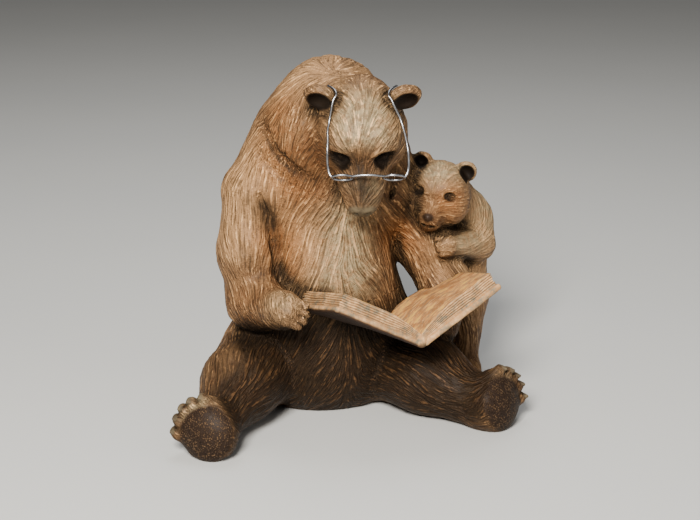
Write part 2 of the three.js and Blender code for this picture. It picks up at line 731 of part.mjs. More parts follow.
const statuette = new THREE.Group();
statuette.add(bearMesh, glassesMesh);

export default statuette;
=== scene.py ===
"""Dresses the statuette of a seated bear who reads an open book to her cub.

The figures are one skin, drawn from rounded forms that melt into each other, with the fur
carved along a flow that runs down the body and out along the limbs. The book is a set of
bent slabs. The patina is a brown cast finish with pale ridges over dark grooves, and shade
is painted darker into the hollows and creases, the eye sockets and ear cups, the lap and
legs under the book, and the book's undersides.
"""

import logging
import math
from dataclasses import dataclass, field
from enum import Enum
from typing import Callable, Optional, Sequence

import bpy
import numpy as np
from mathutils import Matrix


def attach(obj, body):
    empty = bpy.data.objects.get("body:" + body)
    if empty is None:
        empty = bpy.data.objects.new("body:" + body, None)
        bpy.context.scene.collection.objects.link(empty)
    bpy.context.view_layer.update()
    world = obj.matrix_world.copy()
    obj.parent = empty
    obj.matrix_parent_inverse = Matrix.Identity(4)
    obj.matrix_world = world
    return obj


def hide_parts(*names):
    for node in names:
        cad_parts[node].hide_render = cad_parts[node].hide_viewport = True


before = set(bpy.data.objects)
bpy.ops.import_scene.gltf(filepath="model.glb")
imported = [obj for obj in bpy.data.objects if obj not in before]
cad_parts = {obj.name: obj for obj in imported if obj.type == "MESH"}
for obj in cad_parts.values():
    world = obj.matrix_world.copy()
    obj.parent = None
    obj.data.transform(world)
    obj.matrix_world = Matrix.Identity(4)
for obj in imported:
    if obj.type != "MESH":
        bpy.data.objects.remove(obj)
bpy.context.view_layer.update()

Array = np.ndarray
Form = Callable[[Array], Array]
Place = Sequence[float]

log = logging.getLogger("bear_statuette")

CASTING = "bear_cub_and_book_casting"
SPECTACLES = "spectacles"
UNIT = 0.003  # metres in a hundredth of the statuette's height, the unit of every form
FOOTPRINT_MIDDLE = (0.8559, -13.0157, 0.0)  # the middle of the footprint, in units
NEAR_BALL = 12.0  # how near its ball a form has to be exact, in units, more than any seam needs
TOES = range(-2, 3)  # the toes of a hind foot, numbered from the middle one
PAW_TOES = (-1.5, -0.5, 0.5, 1.5)  # the toes of a forepaw, from the paw's middle line


# Frames and forms. Places are arrays of three rows, x, y and z, in units.


@dataclass(frozen=True)
class Stand:
    """A frame at a place, pitched nose down, yawed to her left and rolled, in degrees."""

    place: Place
    pitch: float = 0.0
    yaw: float = 0.0
    roll: float = 0.0
    size: float = 1.0

    @property
    def turn(self) -> Array:
        """The three axes as columns: yaw about z, times pitch about x, times roll about y."""
        a, b, c = (math.radians(v) for v in (self.pitch, self.roll, self.yaw))
        about_x = np.array([[1, 0, 0], [0, math.cos(a), -math.sin(a)], [0, math.sin(a), math.cos(a)]])
        about_y = np.array([[math.cos(b), 0, math.sin(b)], [0, 1, 0], [-math.sin(b), 0, math.cos(b)]])
        about_z = np.array([[math.cos(c), -math.sin(c), 0], [math.sin(c), math.cos(c), 0], [0, 0, 1]])
        return about_z @ about_x @ about_y

    def own(self, p: Array) -> Array:
        """Carries places into this frame."""
        return self.turn.T @ (p - column(self.place)) / self.size

    def out(self, p: Array) -> Array:
        """Carries places out of this frame."""
        return self.turn @ p * self.size + column(self.place)


def column(place: Place) -> Array:
    """A place as a column of three."""
    return np.asarray(place, dtype=float).reshape(3, 1)


def length(v: Array) -> Array:
    """The length of each vector."""
    return np.sqrt(v[0] * v[0] + v[1] * v[1] + v[2] * v[2])


def unit(v: Array) -> Array:
    """Each vector, made one long."""
    return v / np.maximum(length(v), 1e-9)


def eased(low: float, high: float, v: Array) -> Array:
    """A smooth step from 0 at low to 1 at high: 3t squared less 2t cubed."""
    t = np.clip((v - low) / (high - low), 0.0, 1.0)
    return t * t * (3.0 - 2.0 * t)


def placed(stand: Stand, form: Form) -> Form:
    """A form carried into a frame."""
    return lambda p: stand.size * form(stand.own(p))


def egg(centre: Place, radii: Place) -> Form:
    """An ellipsoid.

    Its distance is near r(r - 1) / s, where r is the length of p / radii and s that of
    p / radii / radii.

    Args:
        centre: its middle.
        radii: its three radii.

    Returns:
        The form.
    """
    middle, r = column(centre), column(radii)

    def form(p: Array) -> Array:
        """The egg's distance at each place."""
        q = (p - middle) / r
        reach = length(q)
        slope = length(q / r)
        return np.where(slope > 1e-6, reach * (reach - 1.0) / np.maximum(slope, 1e-6), -float(r.min()))

    return form


def turned_egg(centre: Place, radii: Place, **turn: float) -> Form:
    """An egg turned about its centre."""
    return placed(Stand(centre, **turn), egg((0, 0, 0), radii))


def limb(a: Place, b: Place, ra: float, rb: Optional[float] = None) -> Form:
    """A round bar whose radius runs evenly: the distance to the line, less the radius there.

    Args:
        a: where it starts.
        b: where it ends.
        ra: the radius at its start.
        rb: the radius at its end, if not the same.

    Returns:
        The form.
    """
    start, run = column(a), column(b) - column(a)
    end_radius = ra if rb is None else rb

    def form(p: Array) -> Array:
        """The bar's distance at each place."""
        q = p - start
        t = np.clip((q * run).sum(0) / float((run * run).sum()), 0.0, 1.0)
        return length(q - run * t) - (ra + (end_radius - ra) * t)

    return form


def soft_least(k: float, d: Array, e: Array) -> Array:
    """The lesser of two distances, less h squared / 4k, where h is k - |d - e| above 0."""
    h = np.maximum(k - np.abs(d - e), 0.0)
    return np.minimum(d, e) - h * h / (4.0 * k)


def blend(k: float, *forms: Form) -> Form:
    """Forms joined with a soft seam.

    Args:
        k: the seam's width.
        forms: the forms.

    Returns:
        The joined form.
    """

    def form(p: Array) -> Array:
        """The joined distance at each place."""
        d = forms[0](p)
        for other in forms[1:]:
            d = soft_least(k, d, other(p))
        return d

    return form


def carve(k: float, form: Form, *cuts: Form) -> Form:
    """A form with others cut out of it.

    Args:
        k: the width of the soft edge.
        form: the form that is cut.
        cuts: the forms that are cut out.

    Returns:
        What is left.
    """

    def carved(p: Array) -> Array:
        """The carved distance at each place."""
        d = form(p)
        for cut in cuts:
            d = -soft_least(k, -d, cut(p))
        return d

    return carved


def within(centre: Place, radius: float, form: Form) -> Form:
    """A form that is only worked out near its ball; farther off the ball's own distance serves.

    Args:
        centre: the ball's middle.
        radius: the ball's radius, which holds the whole form.
        form: the form.

    Returns:
        The form, with rougher distances far off.
    """
    middle = column(centre)

    def near(p: Array) -> Array:
        """The form's distance near the ball, and the ball's beyond."""
        away = length(p - middle) - radius
        close = away <= NEAR_BALL
        if close.any():
            away[close] = form(p[:, close])
        return away

    return near


def chain(radius: float, *places: Place) -> Form:
    """A bar of one radius through several places, which thins to half at its two ends.

    Args:
        radius: the radius.
        places: the places.

    Returns:
        The form.
    """
    last = len(places) - 2
    links = [
        limb(a, b, radius * (0.5 if i == 0 else 1.0), radius * (0.5 if i == last else 1.0))
        for i, (a, b) in enumerate(zip(places, places[1:]))
    ]
    return blend(0.4, *links)


def mirrored(form: Form) -> Form:
    """The same form on both sides of the middle plane."""
    return lambda p: form(np.stack([np.abs(p[0]), p[1], p[2]]))


def slope_of(form: Form, p: Array, reach: float = 0.06) -> Array:
    """The gradient of a form, from its values a short reach ahead and behind on each axis.

    Args:
        form: the form.
        p: the places.
        reach: how far ahead and behind.

    Returns:
        The gradient at each place.
    """
    rows = []
    for axis in range(3):
        step = np.zeros((3, 1))
        step[axis] = reach
        rows.append((form(p + step) - form(p - step)) / (2.0 * reach))
    return np.stack(rows)


# Noise.


def grain(p: Array, cell: float, seed: int) -> Array:
    """Smooth noise from -1 to 1: a lattice of numbers, eased between the eight corners around a place.

    Each corner's number is its whole coordinates times three primes, mixed bit by bit.

    Args:
        p: the places.
        cell: the lattice's step.
        seed: picks one noise of many.

    Returns:
        The noise at each place.
    """
    q = p / cell
    base = np.floor(q)
    t = q - base
    t = t * t * (3.0 - 2.0 * t)
    corner = base.astype(np.int64)
    total = np.zeros(p.shape[1])
    for n in range(8):
        bits = (n & 1, (n >> 1) & 1, (n >> 2) & 1)
        mixed = np.zeros(p.shape[1], dtype=np.int64)
        for axis, prime in enumerate((73856093, 19349663, 83492791)):
            mixed ^= (corner[axis] + bits[axis]) * prime
        mixed ^= seed * 26544357
        mixed = ((mixed ^ (mixed >> 13)) * 1274126177) & 0xFFFFFFFF
        mixed = ((mixed ^ (mixed >> 16)) * 73244475) & 0xFFFFFFFF
        share = np.ones(p.shape[1])
        for axis in range(3):
            share *= t[axis] if bits[axis] else 1.0 - t[axis]
        total += share * (mixed / 2147483647.5 - 1.0)
    return total


def strokes(p: Array, flow: Array, cell: float, reach: float, seed: int, taps: int = 9) -> Array:
    """Noise drawn out along the flow: the sum of the grain at taps along it, brought to a spread near one.

    Args:
        p: the places.
        flow: the way of the flow at each.
        cell: the size of the grain.
        reach: how far the taps go to each side.
        seed: picks one noise of many.
        taps: how many taps.

    Returns:
        The noise at each place.
    """
    total = np.zeros(p.shape[1])
    for t in np.linspace(-reach, reach, taps):
        total += grain(p + flow * t, cell, seed)
    return total / (0.42 * math.sqrt(taps))


# The bodies. Sizes are in units.


@dataclass(frozen=True)
class BearHead:
    """A bear's head in its own frame: the skull is at the origin and the nose points to -y.

    Attributes:
        stand: the head's frame.
        muzzle: how long the muzzle is.
        brow: how high the brows stand.
        ear_out: how far the ears are from the middle.
        ear_up: how high the ears are.
        ear_size: their radius.
        droop: how far the muzzle drops.
        slim: how slim the muzzle and how small the eyes are.
        ear_pitch: how far the ears are tipped back, in degrees.
        eye_slant: how far the eyes slope down to the nose, in degrees.
    """

    stand: Stand
    muzzle: float
    brow: float
    ear_out: float
    ear_up: float
    ear_size: float
    droop: float = 0.0
    slim: float = 1.0
    ear_pitch: float = 0.0
    eye_slant: float = 24.0

    @property
    def nose_y(self) -> float:
        """Where the nose is on y."""
        return -11.0 - self.muzzle

    @property
    def ear_stand(self) -> Stand:
        """The frame of her left ear."""
        return Stand((self.ear_out, 3, self.ear_up), pitch=self.ear_pitch, roll=35, yaw=12)

    def form(self) -> Form:
        """Joins the skull, brows, cheeks, muzzle, nose, eyes and ears.

        Returns:
            The head's form, in its own frame.
        """
        y, droop, slim = self.nose_y, self.droop, self.slim
        small = slim * slim
        skull = blend(
            4,
            egg((0, 0, 0), (10.4, 12, 10)),
            egg((0, -5, 3), (8.2, 7.5, 6.6)),
            mirrored(egg((6, -4, -3.6), (6.2, 8.5, 7.6))),
            limb((0, -8, -1.6), (0, y + 8, -3 - droop / 2), 6.8, 5.5 * slim),
            limb((0, y + 8, -3 - droop / 2), (0, y + 2.5, -3.7 - droop), 5.5 * slim, 4.6 * slim),
            limb((0, -8, -8), (0, y + 5.5, -7.6 - droop), 4.6, 3.2),
            mirrored(turned_egg((4.6, -8.6, 4.9), (4.3, 3, self.brow + 0.5), yaw=18)),
        )
        lip = -6.6 - droop
        hollow = (2.5 * small, 2.3 * small * small, 1.7 * small)
        sockets = mirrored(turned_egg((5.7, -12, 2.7), hollow, roll=self.eye_slant))
        eyes = mirrored(egg((5.2, -11, 2), (1.4 * small, 1.5 * small, 1.1 * small)))
        nose = egg((0, y, -2.9 - droop), (3.7 * small * slim, 2, 2.4 * small))
        mouth = mirrored(limb((0, y - 1.5, lip), (4.6, y + 7, lip + droop / 2), 0.5))
        nostrils = mirrored(egg((1.6, y - 1.9, -3.1 - droop), (0.7, 1, 0.8)))
        cup = 0.7 * self.ear_size
        disc = egg((0, 0, 0), (self.ear_size, 2.3, self.ear_size))
        ear = placed(self.ear_stand, carve(0.8, disc, egg((0, -2.6, 0.2), (cup, 2.4, cup))))
        face = carve(0.9, carve(2, skull, sockets), mouth)
        return blend(1.6, carve(0.5, blend(0.7, face, nose), nostrils), eyes, mirrored(ear))

    def bare_nose(self, q: Array) -> Array:
        """How much each place, in the head's frame, is the bare nose."""
        radii = (3.7 * self.slim**3, 2, 2.5 * self.slim**2)
        return eased(0.35, -0.1, egg((0, self.nose_y - 0.2, -2.9 - self.droop), radii)(q))

    def shaded(self, q: Array) -> tuple[Array, Array]:
        """Works out the painted shade of the eye sockets and ear cups, and the dark slit of the eyes.

        Args:
            q: places in the head's frame.

        Returns:
            How far each place lies in a socket, and how far it lies in an ear's cup or between the lids.
        """
        slim = self.slim
        cup = self.ear_stand.own(np.stack([np.abs(q[0]), q[1], q[2]]))
        ear = eased(0.86, 0.68, length(cup * column((1, 0.2, 1))) / self.ear_size) * eased(0.9, 0.3, cup[1])
        hollow = turned_egg((5.5, -12, 2.2), (2.4 * slim**2, 2.4, 1.4 * slim**4), roll=self.eye_slant)
        lids = turned_egg((5.2, -12, 1.9), (1.7 * slim**2, 2.4, 0.45 * slim**4), roll=self.eye_slant)
        socket = eased(2.2 * slim**3, -0.4, mirrored(hollow)(q))
        slit = eased(1.0 * slim**6, -0.2, mirrored(lids)(q))
        return socket, np.maximum(ear * (length(cup) < 6), slit)


@dataclass(frozen=True)
class Leg:
    """A hind leg, splayed on the table, with the sole forward and the toes turned out.

    Attributes:
        side: -1 for her right and 1 for her left.
        hip: where the thigh starts.
        knee: where the shin starts.
        ankle: where the shin ends.
        calf: the radius at the knee.
        shin: the radius at the ankle.
    """

    side: int
    hip: Place
    knee: Place
    ankle: Place
    calf: float
    shin: float

    @property
    def sole(self) -> Stand:
        """The foot's frame: the ankle is at the origin, the sole faces -y and the toes are up."""
        return Stand((self.side * 41, -38, 7.6), yaw=self.side * 36, pitch=-14, roll=self.side * 54)

    @staticmethod
    def claw(toe: int, root: float, thick: float, thin: float) -> Form:
        """A toe's claw, from its root on y to its tip."""
        x, drop = toe * 3.1, toe * toe * 0.6
        return limb((x, root, 9.2 - drop), (x, -3.6, 8.8 - drop), thick, thin)

    def foot(self) -> Form:
        """Joins the foot's sole, five toes and claws.

        Returns:
            The foot's form, in its own frame.
        """
        toes = [
            limb((i * 2.9, 0.8, 5.2 - i * i * 0.4), (i * 3.1, -1.4, 7.8 - i * i * 0.6), 2, 1.7)
            for i in TOES
        ]
        claws = [self.claw(i, -1.2, 0.9, 0.45) for i in TOES]
        heel = blend(
            2.5,
            egg((0, 1.6, -1.5), (6.8, 5.6, 7)),
            egg((0, -0.8, -0.8), (7.4, 3.2, 7.4)),
            egg((0, 0.8, 3), (7.4, 3.8, 5)),
        )
        return blend(1, heel, *toes, *claws)

    def bars(self) -> tuple[Form, Form]:
        """The thigh and the shin."""
        thigh = limb(self.hip, self.knee, 14.5, self.calf)
        return thigh, limb(self.knee, self.ankle, self.calf, self.shin)

    def form(self) -> Form:
        """The whole leg."""
        return blend(4, *self.bars(), placed(self.sole, self.foot()))

    def bare(self, p: Array) -> tuple[Array, Array]:
        """Works out where the foot is bare.

        Args:
            p: the places on the skin.

        Returns:
            How much each place is the sole's pad, and how much it is claw.
        """
        q = self.sole.own(p)
        near = length(q) < 16.0
        ball = np.sqrt((q[0] / 8.2) ** 2 + ((q[2] + 1.2) / 7.6) ** 2)
        pad = near * eased(-0.8, -2.0, q[1]) * eased(1.06, 0.9, ball)
        claws = np.stack([eased(0.5, 0.05, self.claw(i, -1.6, 0.8, 0.5)(q)) for i in TOES])
        return pad, near * claws.max(0)


@dataclass(frozen=True)
class Region:
    """A part of the skin with its own lie of fur.

    Attributes:
        form: the part's own form.
        lie: gives the way the fur runs at each place.
        stroke: how deep the locks are carved, in units.
        short: how short the fur is, from 0 to 1.
    """

    form: Form
    lie: Form
    stroke: float
    short: float = 0.0


class Tint(Enum):
    """The colours that the patina takes in places; DARK also carries painted shade."""

    TAN = 0
    GREYED = 1
    GINGER = 2
    DARK = 3


@dataclass(frozen=True)
class TintSpot:
    """A place where the patina takes a tint, or where shade is painted in with the dark tint, fading out over
    a reach.
    """

    tint: Tint
    centre: Place
    reach: float
    strength: float = 1.0


def along(a: Place, b: Place) -> Form:
    """Fur that runs from a towards b everywhere."""
    run = unit(column(b) - column(a))
    return lambda p: np.repeat(run, p.shape[1], axis=1)


def down_and_out(p: Array) -> Array:
    """Fur that falls, leans out from a parting down the belly and runs back over the hump.

    Args:
        p: the places.

    Returns:
        The lie at each place.
    """
    front = eased(-6.0, -16.0, p[1])
    lean = (0.35 + 0.45 * front) * np.tanh((p[0] - 1.0) / 7.0)
    back = 0.25 * (1.0 - 2.0 * front) + 1.2 * eased(78.0, 96.0, p[2])
    return np.stack([lean, back, -np.ones_like(lean)])


def down_the_ruff(p: Array) -> Array:
    """Fur that hangs forwards from the neck and spreads a little."""
    even = np.ones_like(p[0])
    return np.stack([0.05 * (p[0] - 2), -0.35 * even, -even])


@dataclass(frozen=True)
class Share:
    """A part of the skin that is drawn on a grid of its own, sunk softly under its neighbours where it ends.

    Attributes:
        name: the piece's name.
        bounds: the form that the part lies in.
        low: the lowest corner of its grid.
        high: its highest corner.
        step: the grid's step.
    """

    name: str
    bounds: Form
    low: Place
    high: Place
    step: float

    def cut_from(self, form: Form) -> Form:
        """The form, cut off softly at the part's bounds."""
        return carve(2.0, form, lambda p: -self.bounds(p))


@dataclass
class Figures:
    """The bear and her cub as one carved skin.

    Attributes:
        head: the bear's head.
        cub_head: the cub's head.
        legs: the two hind legs.
        rubs_and_painted_shade: where the patina is rubbed or stained, and where shade is painted in with the
            dark tint.
    """

    head: BearHead = BearHead(
        stand=Stand((5.2, -25, 87), pitch=55, yaw=-15),
        muzzle=13.2,
        brow=2.4,
        ear_out=11.2,
        ear_up=7.6,
        ear_size=4.4,
        ear_pitch=-12,
    )
    cub_head: BearHead = BearHead(
        stand=Stand((32.4, -9, 62), pitch=8, yaw=-29, roll=10, size=0.77),
        muzzle=6.8,
        brow=1.6,
        ear_out=8.2,
        ear_up=7.6,
        ear_size=4,
        droop=1.2,
        slim=0.82,
    )
    legs: Sequence[Leg] = (
        Leg(-1, (-16, -3, 14.6), (-28, -18.5, 12.2), (-38.5, -34.5, 7), 10.4, 5.8),
        Leg(1, (14, -2, 13.6), (25, -21.5, 11.2), (36.8, -34.5, 6), 10.8, 7),
    )
    rubs_and_painted_shade: Sequence[TintSpot] = field(
        default_factory=lambda: (
            TintSpot(Tint.TAN, (-8, -9, 95), 12, 0.8),
            TintSpot(Tint.TAN, (-26, -9, 60), 8, 1.0),
            TintSpot(Tint.TAN, (-20, -8, 72), 7, 0.7),
            TintSpot(Tint.TAN, (-4, -20, 48), 9, 0.8),
            TintSpot(Tint.TAN, (-12, -20, 55), 7, 0.8),
            TintSpot(Tint.TAN, (-23, -13, 66), 12, 1.0),
            TintSpot(Tint.TAN, (-27, -14, 54), 9, 1.0),
            TintSpot(Tint.TAN, (-19, -32, 40), 6, 0.9),
            TintSpot(Tint.TAN, (-11, -18, 47), 7, 0.8),
            TintSpot(Tint.TAN, (47, -6, 52), 9, 1.0),
            TintSpot(Tint.TAN, (40, -14, 47), 7, 1.0),
            TintSpot(Tint.TAN, (38, -10, 72), 9, 0.9),
            TintSpot(Tint.TAN, (44, 0, 30), 9, 0.9),
            TintSpot(Tint.TAN, (27, -15, 46), 7, 0.5),
            TintSpot(Tint.TAN, (5, 0, 96), 14, 0.7),
            TintSpot(Tint.TAN, (-32, -22, 24), 6, 0.5),
            TintSpot(Tint.GREYED, (2, -36, 89), 9, 1.0),
            TintSpot(Tint.GREYED, (2, -20, 56), 8, 1.0),
            TintSpot(Tint.GREYED, (1, -21, 43), 10, 1.0),
            TintSpot(Tint.GREYED, (30, -15, 69), 5, 0.9),
            TintSpot(Tint.GREYED, (-44, -38, 13), 5, 0.9),
            TintSpot(Tint.GREYED, (43, -40, 13), 4, 0.7),
            TintSpot(Tint.GREYED, (2, -38, 71), 5, 0.9),
            TintSpot(Tint.GREYED, (-19, -32, 41), 5, 0.5),
            TintSpot(Tint.GREYED, (36, -15, 47), 4, 0.7),
            TintSpot(Tint.GINGER, (-11, -19, 67), 8, 0.8),
            TintSpot(Tint.GINGER, (-17, -15, 52), 6, 1.0),
            TintSpot(Tint.GINGER, (-16, -14, 77), 7, 0.6),
            TintSpot(Tint.GINGER, (-7, -25, 79), 7, 0.6),
            TintSpot(Tint.GINGER, (19, -12, 50), 7, 1.0),
            TintSpot(Tint.GINGER, (32, -19, 61), 5, 0.8),
            TintSpot(Tint.GINGER, (-21, -18, 23), 4, 1.0),
            TintSpot(Tint.GINGER, (-14, -17, 43), 5, 0.7),
            TintSpot(Tint.GINGER, (2, -37, 78), 4, 0.7),
            TintSpot(Tint.GINGER, (-2, -39, 69), 4, 0.6),
            TintSpot(Tint.GINGER, (-25, -19, 36), 7, 0.4),
            # Painted shade along the neck's crease, under the ruff and down the crease between her right arm
            # and her chest.
            TintSpot(Tint.DARK, (-17.2, -8.6, 83.8), 3.2, 0.6),
            TintSpot(Tint.DARK, (-15.8, -14.4, 78.3), 3.4, 0.6),
            TintSpot(Tint.DARK, (-12, -18.1, 72.9), 3.6, 0.6),
            TintSpot(Tint.DARK, (-7.3, -20.3, 69.8), 4.5, 0.5),
            TintSpot(Tint.DARK, (-12, -18, 63), 5, 0.35),
            TintSpot(Tint.DARK, (-5, -20, 59), 5, 0.35),
            TintSpot(Tint.DARK, (-19.6, -15, 62), 3.4, 0.9),
            TintSpot(Tint.DARK, (-18, -16, 57), 3.2, 0.9),
            TintSpot(Tint.DARK, (-17, -16.5, 51), 2.8, 0.75),
            TintSpot(Tint.DARK, (-16, -17.5, 43.5), 3.0, 0.8),
            TintSpot(Tint.DARK, (12, -20, 72), 6, 0.6),
            TintSpot(Tint.DARK, (-5, -25, 86), 5, 0.45),
            TintSpot(Tint.DARK, (-7, -20, 90), 5, 0.35),
            TintSpot(Tint.DARK, (13, -27, 88), 5, 0.35),
            TintSpot(Tint.DARK, (-8, -25, 78), 5, 0.35),
            TintSpot(Tint.DARK, (2, -34, 79), 4, 0.3),
            TintSpot(Tint.DARK, (2, -37, 73), 7, 0.55),
            TintSpot(Tint.DARK, (2, -37, 66), 4, 0.4),
            TintSpot(Tint.DARK, (-3, -30, 80), 4, 0.4),
            TintSpot(Tint.DARK, (9, -33, 80), 4, 0.4),
            TintSpot(Tint.DARK, (-26, -17, 41), 7, 0.3),
            TintSpot(Tint.GINGER, (-15, -12, 88), 7, 0.6),
            TintSpot(Tint.GINGER, (-8, -20, 50), 8, 0.35),
            TintSpot(Tint.DARK, (20, -15, 58), 7, 0.4),
            TintSpot(Tint.DARK, (-7, -25, 78), 6, 0.3),
            # Painted shade over the lap and the legs under the book, and low on the cub's leg; the two
            # negative spots lift it off the tops of the hind toes.
            TintSpot(Tint.DARK, (-19, -22, 20), 8, 0.8),
            TintSpot(Tint.DARK, (-3, -20, 9), 15, 1.0),
            TintSpot(Tint.DARK, (-30, -33, 12), 9, 0.75),
            TintSpot(Tint.DARK, (18, -30, 13), 11, 0.95),
            TintSpot(Tint.DARK, (29, -36, 11), 9, 0.75),
            TintSpot(Tint.DARK, (36, -41, 12), 7, 0.6),
            TintSpot(Tint.DARK, (-9, -21, 22), 13, 1.0),
            TintSpot(Tint.DARK, (10, -24, 26), 10, 0.9),
            TintSpot(Tint.DARK, (44, -1, 10), 8, 0.25),
            TintSpot(Tint.DARK, (-44, -39, 13), 5, -0.8),
            TintSpot(Tint.DARK, (44, -41, 13), 4.5, -0.6),
            TintSpot(Tint.GREYED, (50, -2, 52), 9, 0.6),
            TintSpot(Tint.GREYED, (42, -12, 47), 6, 0.5),
            TintSpot(Tint.GREYED, (37, -12, 71), 7, 0.7),
            TintSpot(Tint.GREYED, (47, 0, 60), 7, 0.5),
            # Most of the dark spots here are painted shade too: under her right paw, between her right arm
            # and thigh, and low on her right leg and foot.
            TintSpot(Tint.DARK, (1, -36, 79), 5, 0.3),
            TintSpot(Tint.DARK, (-25, -18, 29), 6, 0.7),
            TintSpot(Tint.DARK, (-19, -31, 32), 6, 0.8),
            TintSpot(Tint.DARK, (1, -39, 71), 6, 0.35),
            TintSpot(Tint.DARK, (14, -18, 68), 7, 0.25),
            TintSpot(Tint.DARK, (-22, -17, 48), 4, 0.4),
            TintSpot(Tint.DARK, (-28, -33, 10), 8, 0.4),
            TintSpot(Tint.DARK, (27, -14, 57), 5, 0.5),
            TintSpot(Tint.DARK, (37, -12, 53), 4, 0.4),
            TintSpot(Tint.DARK, (-41, -40, 5), 8, 0.4),
        )
    )

    def torso(self) -> Form:
        """The trunk, which sits on the table and rises to a humped back."""
        return blend(
            9,
            egg((1, -1, 17), (27, 21.5, 22)),
            egg((-0.5, -2, 36), (21.6, 20.5, 24)),
            egg((0, -1, 60), (21, 19, 21)),
            egg((2.2, -3, 76.8), (18.4, 19, 23.3)),
            mirrored(limb((9, -3, 75), (17.8, -4, 62), 11.2, 10.4)),
        )

    def neck(self) -> Form:
        """The neck and the ruff under the jaw."""
        return blend(
            3,
            limb((1, -8, 82), (4.5, -20, 86), 15, 10.5),
            turned_egg((0.5, -15.5, 80), (16.5, 11, 12), yaw=-12, roll=20),
        )

    def right_arm(self) -> Form:
        """Her right arm, whose paw lies over the book's edge."""
        return blend(
            5,
            limb((-18.8, -4, 63), (-21.6, -7, 47), 10.4, 8.8),
            limb((-21.6, -7, 47), (-21.4, -12, 34), 8.8, 7.6),
            limb((-21.4, -12, 34), (-18.4, -26, 35.5), 7.6, 5.2),
            egg((-17.4, -31, 37), (4.2, 5.2, 3.8)),
        )

    def left_arm(self) -> Form:
        """Her left arm, which goes down behind the book."""
        return blend(
            5,
            limb((18.6, -4, 62), (28.2, -7, 46), 10.2, 7.6),
            limb((28.2, -7, 46), (33.8, -12, 33.5), 7.6, 6.8),
            limb((33.8, -12, 33.5), (30.5, -19, 24.5), 6.6, 5),
        )

    def cub_body(self) -> Form:
        """The cub's trunk, hind legs and far arm."""
        return blend(
            4,
            limb((43.6, 4, 26), (42.6, 2, 47), 7.6, 8),
            limb((42, 0.5, 51), (35, -5, 59), 8.2, 7.6),
            limb((44.6, 4, 24), (45.2, 3.4, 5), 6.8, 3.9),
            limb((40, 9, 24), (39, 11, 4), 6.8, 4.1),
            egg((45.2, 1.4, 2), (4, 6, 3)),
            egg((39, 9, 2), (4, 6, 3)),
            limb((37, 7, 51), (23, 13, 55), 5.6, 4.6),
        )

    def cub_arm(self) -> Form:
        """The cub's near arm, bent over the bear's."""
        return blend(
            2,
            limb((44.6, 0, 50), (45.8, -4.5, 43.5), 6.4, 4.9),
            limb((45.8, -4.5, 43.5), (32.5, -15, 47), 4.7, 3.8),
        )

    def paws(self) -> Form:
        """Fingers of her right paw over the book's edge, and toes of the cub's paw on her arm.

        Returns:
            Their form. The outer ones are shorter by the square of how far out they are.
        """
        centre = column((-16.9, -33.6, 37.6))
        run, rise = column((0.84, -0.35, -0.38)), column((0.43, 0.16, 0.88))
        fingers = [
            limb(
                centre + rise * 2.05 * k - run * 1.5,
                centre + rise * 1.95 * k + run * (4.6 - 0.5 * k * k),
                1.5,
                1.05,
            )
            for k in PAW_TOES
        ]
        root = column((32.4, -15.2, 46.9))
        reach, across = column((-0.76, -0.6, 0.1)), column((-0.25, 0.25, 0.93))
        toes = [
            limb(root + across * 1.5 * k, root + across * 1.6 * k + reach * (3.6 - 0.3 * k * k), 1.25, 0.95)
            for k in PAW_TOES
        ]
        return blend(0.3, *fingers, *toes)

    def folds(self) -> Form:
        """The carved creases of the neck, of her right arm against the chest, and of her left shoulder."""
        nape = ((-18.6, -5, 85), (-17.6, -11.4, 80.6), (-16.4, -14.6, 77))
        neck = (*nape, (-13, -18, 73.4), (-8, -21.5, 69.5))
        below = ((-21, -9.5, 77), (-18.6, -14, 73.6), (-15.4, -17, 70.4), (-11.5, -19.6, 66.6))
        upper_arm = ((-21, -14.8, 64.5), (-19, -15.8, 59.5), (-17.6, -15.8, 52))
        arm = (*upper_arm, (-16.6, -16.4, 45), (-15.8, -17.4, 39.5))
        shoulder = ((14.2, -15.5, 60), (16.6, -17.6, 66), (18.5, -16.4, 72))
        return blend(0.3, chain(0.7, *neck), chain(0.5, *below), chain(0.75, *arm), chain(0.6, *shoulder))

    def whole(self) -> Form:
        """Joins both figures.

        Returns:
            Their form, cut off flat by the table.
        """
        neck_and_head = blend(3, self.neck(), placed(self.head.stand, self.head.form()))
        cub = blend(2.5, self.cub_body(), self.cub_arm(), placed(self.cub_head.stand, self.cub_head.form()))
        figure = blend(
            1.6,
            blend(3.6, self.torso(), within((2, -24, 82), 36, neck_and_head)),
            blend(1, *(leg.form() for leg in self.legs)),
            blend(2, self.right_arm(), self.left_arm()),
            within((40, -4, 32), 46, cub),
        )
        carved = carve(1.6, blend(0.7, figure, within((6, -26, 42), 32, self.paws())), self.folds())
        return lambda p: np.maximum(carved(p), -p[2])

    def shares(self) -> list[Share]:
        """The parts that the skin is drawn in: finer on the two heads, and each laps the next by a few units.

        Returns:
            The parts. Their grids reach past all that is left of the figures in their bounds.
        """
        face = egg((2.5, -28, 83), (24, 22, 23))
        young = limb((44, 1, 0), (37, -7, 64), 14.5, 14.5)
        coarser = 1.0
        fine, plain = 0.37 * coarser, 0.5 * coarser
        lap = 3.0
        waist = 34.5

        def rest(p: Array) -> Array:
            """How far a place is from what the two finer parts leave, with a lap."""
            return -np.minimum(face(p), young(p)) - lap

        def above(p: Array) -> Array:
            """How far a place is from the part above the waist."""
            return np.maximum(rest(p), waist - lap / 2 - p[2])

        def below(p: Array) -> Array:
            """How far a place is from the part below the waist."""
            return np.maximum(rest(p), p[2] - (waist + lap / 2))

        return [
            Share("bear_head", face, (-25, -54, 56), (31, -2, 107), fine),
            Share("cub", young, (20, -24, -2), (61, 20, 80), fine),
            Share("bear_upper_body", above, (-40, -45, 30), (58, 24, 104), plain),
            Share("bear_lower_body", below, (-57, -54, -2), (60, 26, 40), plain),
        ]

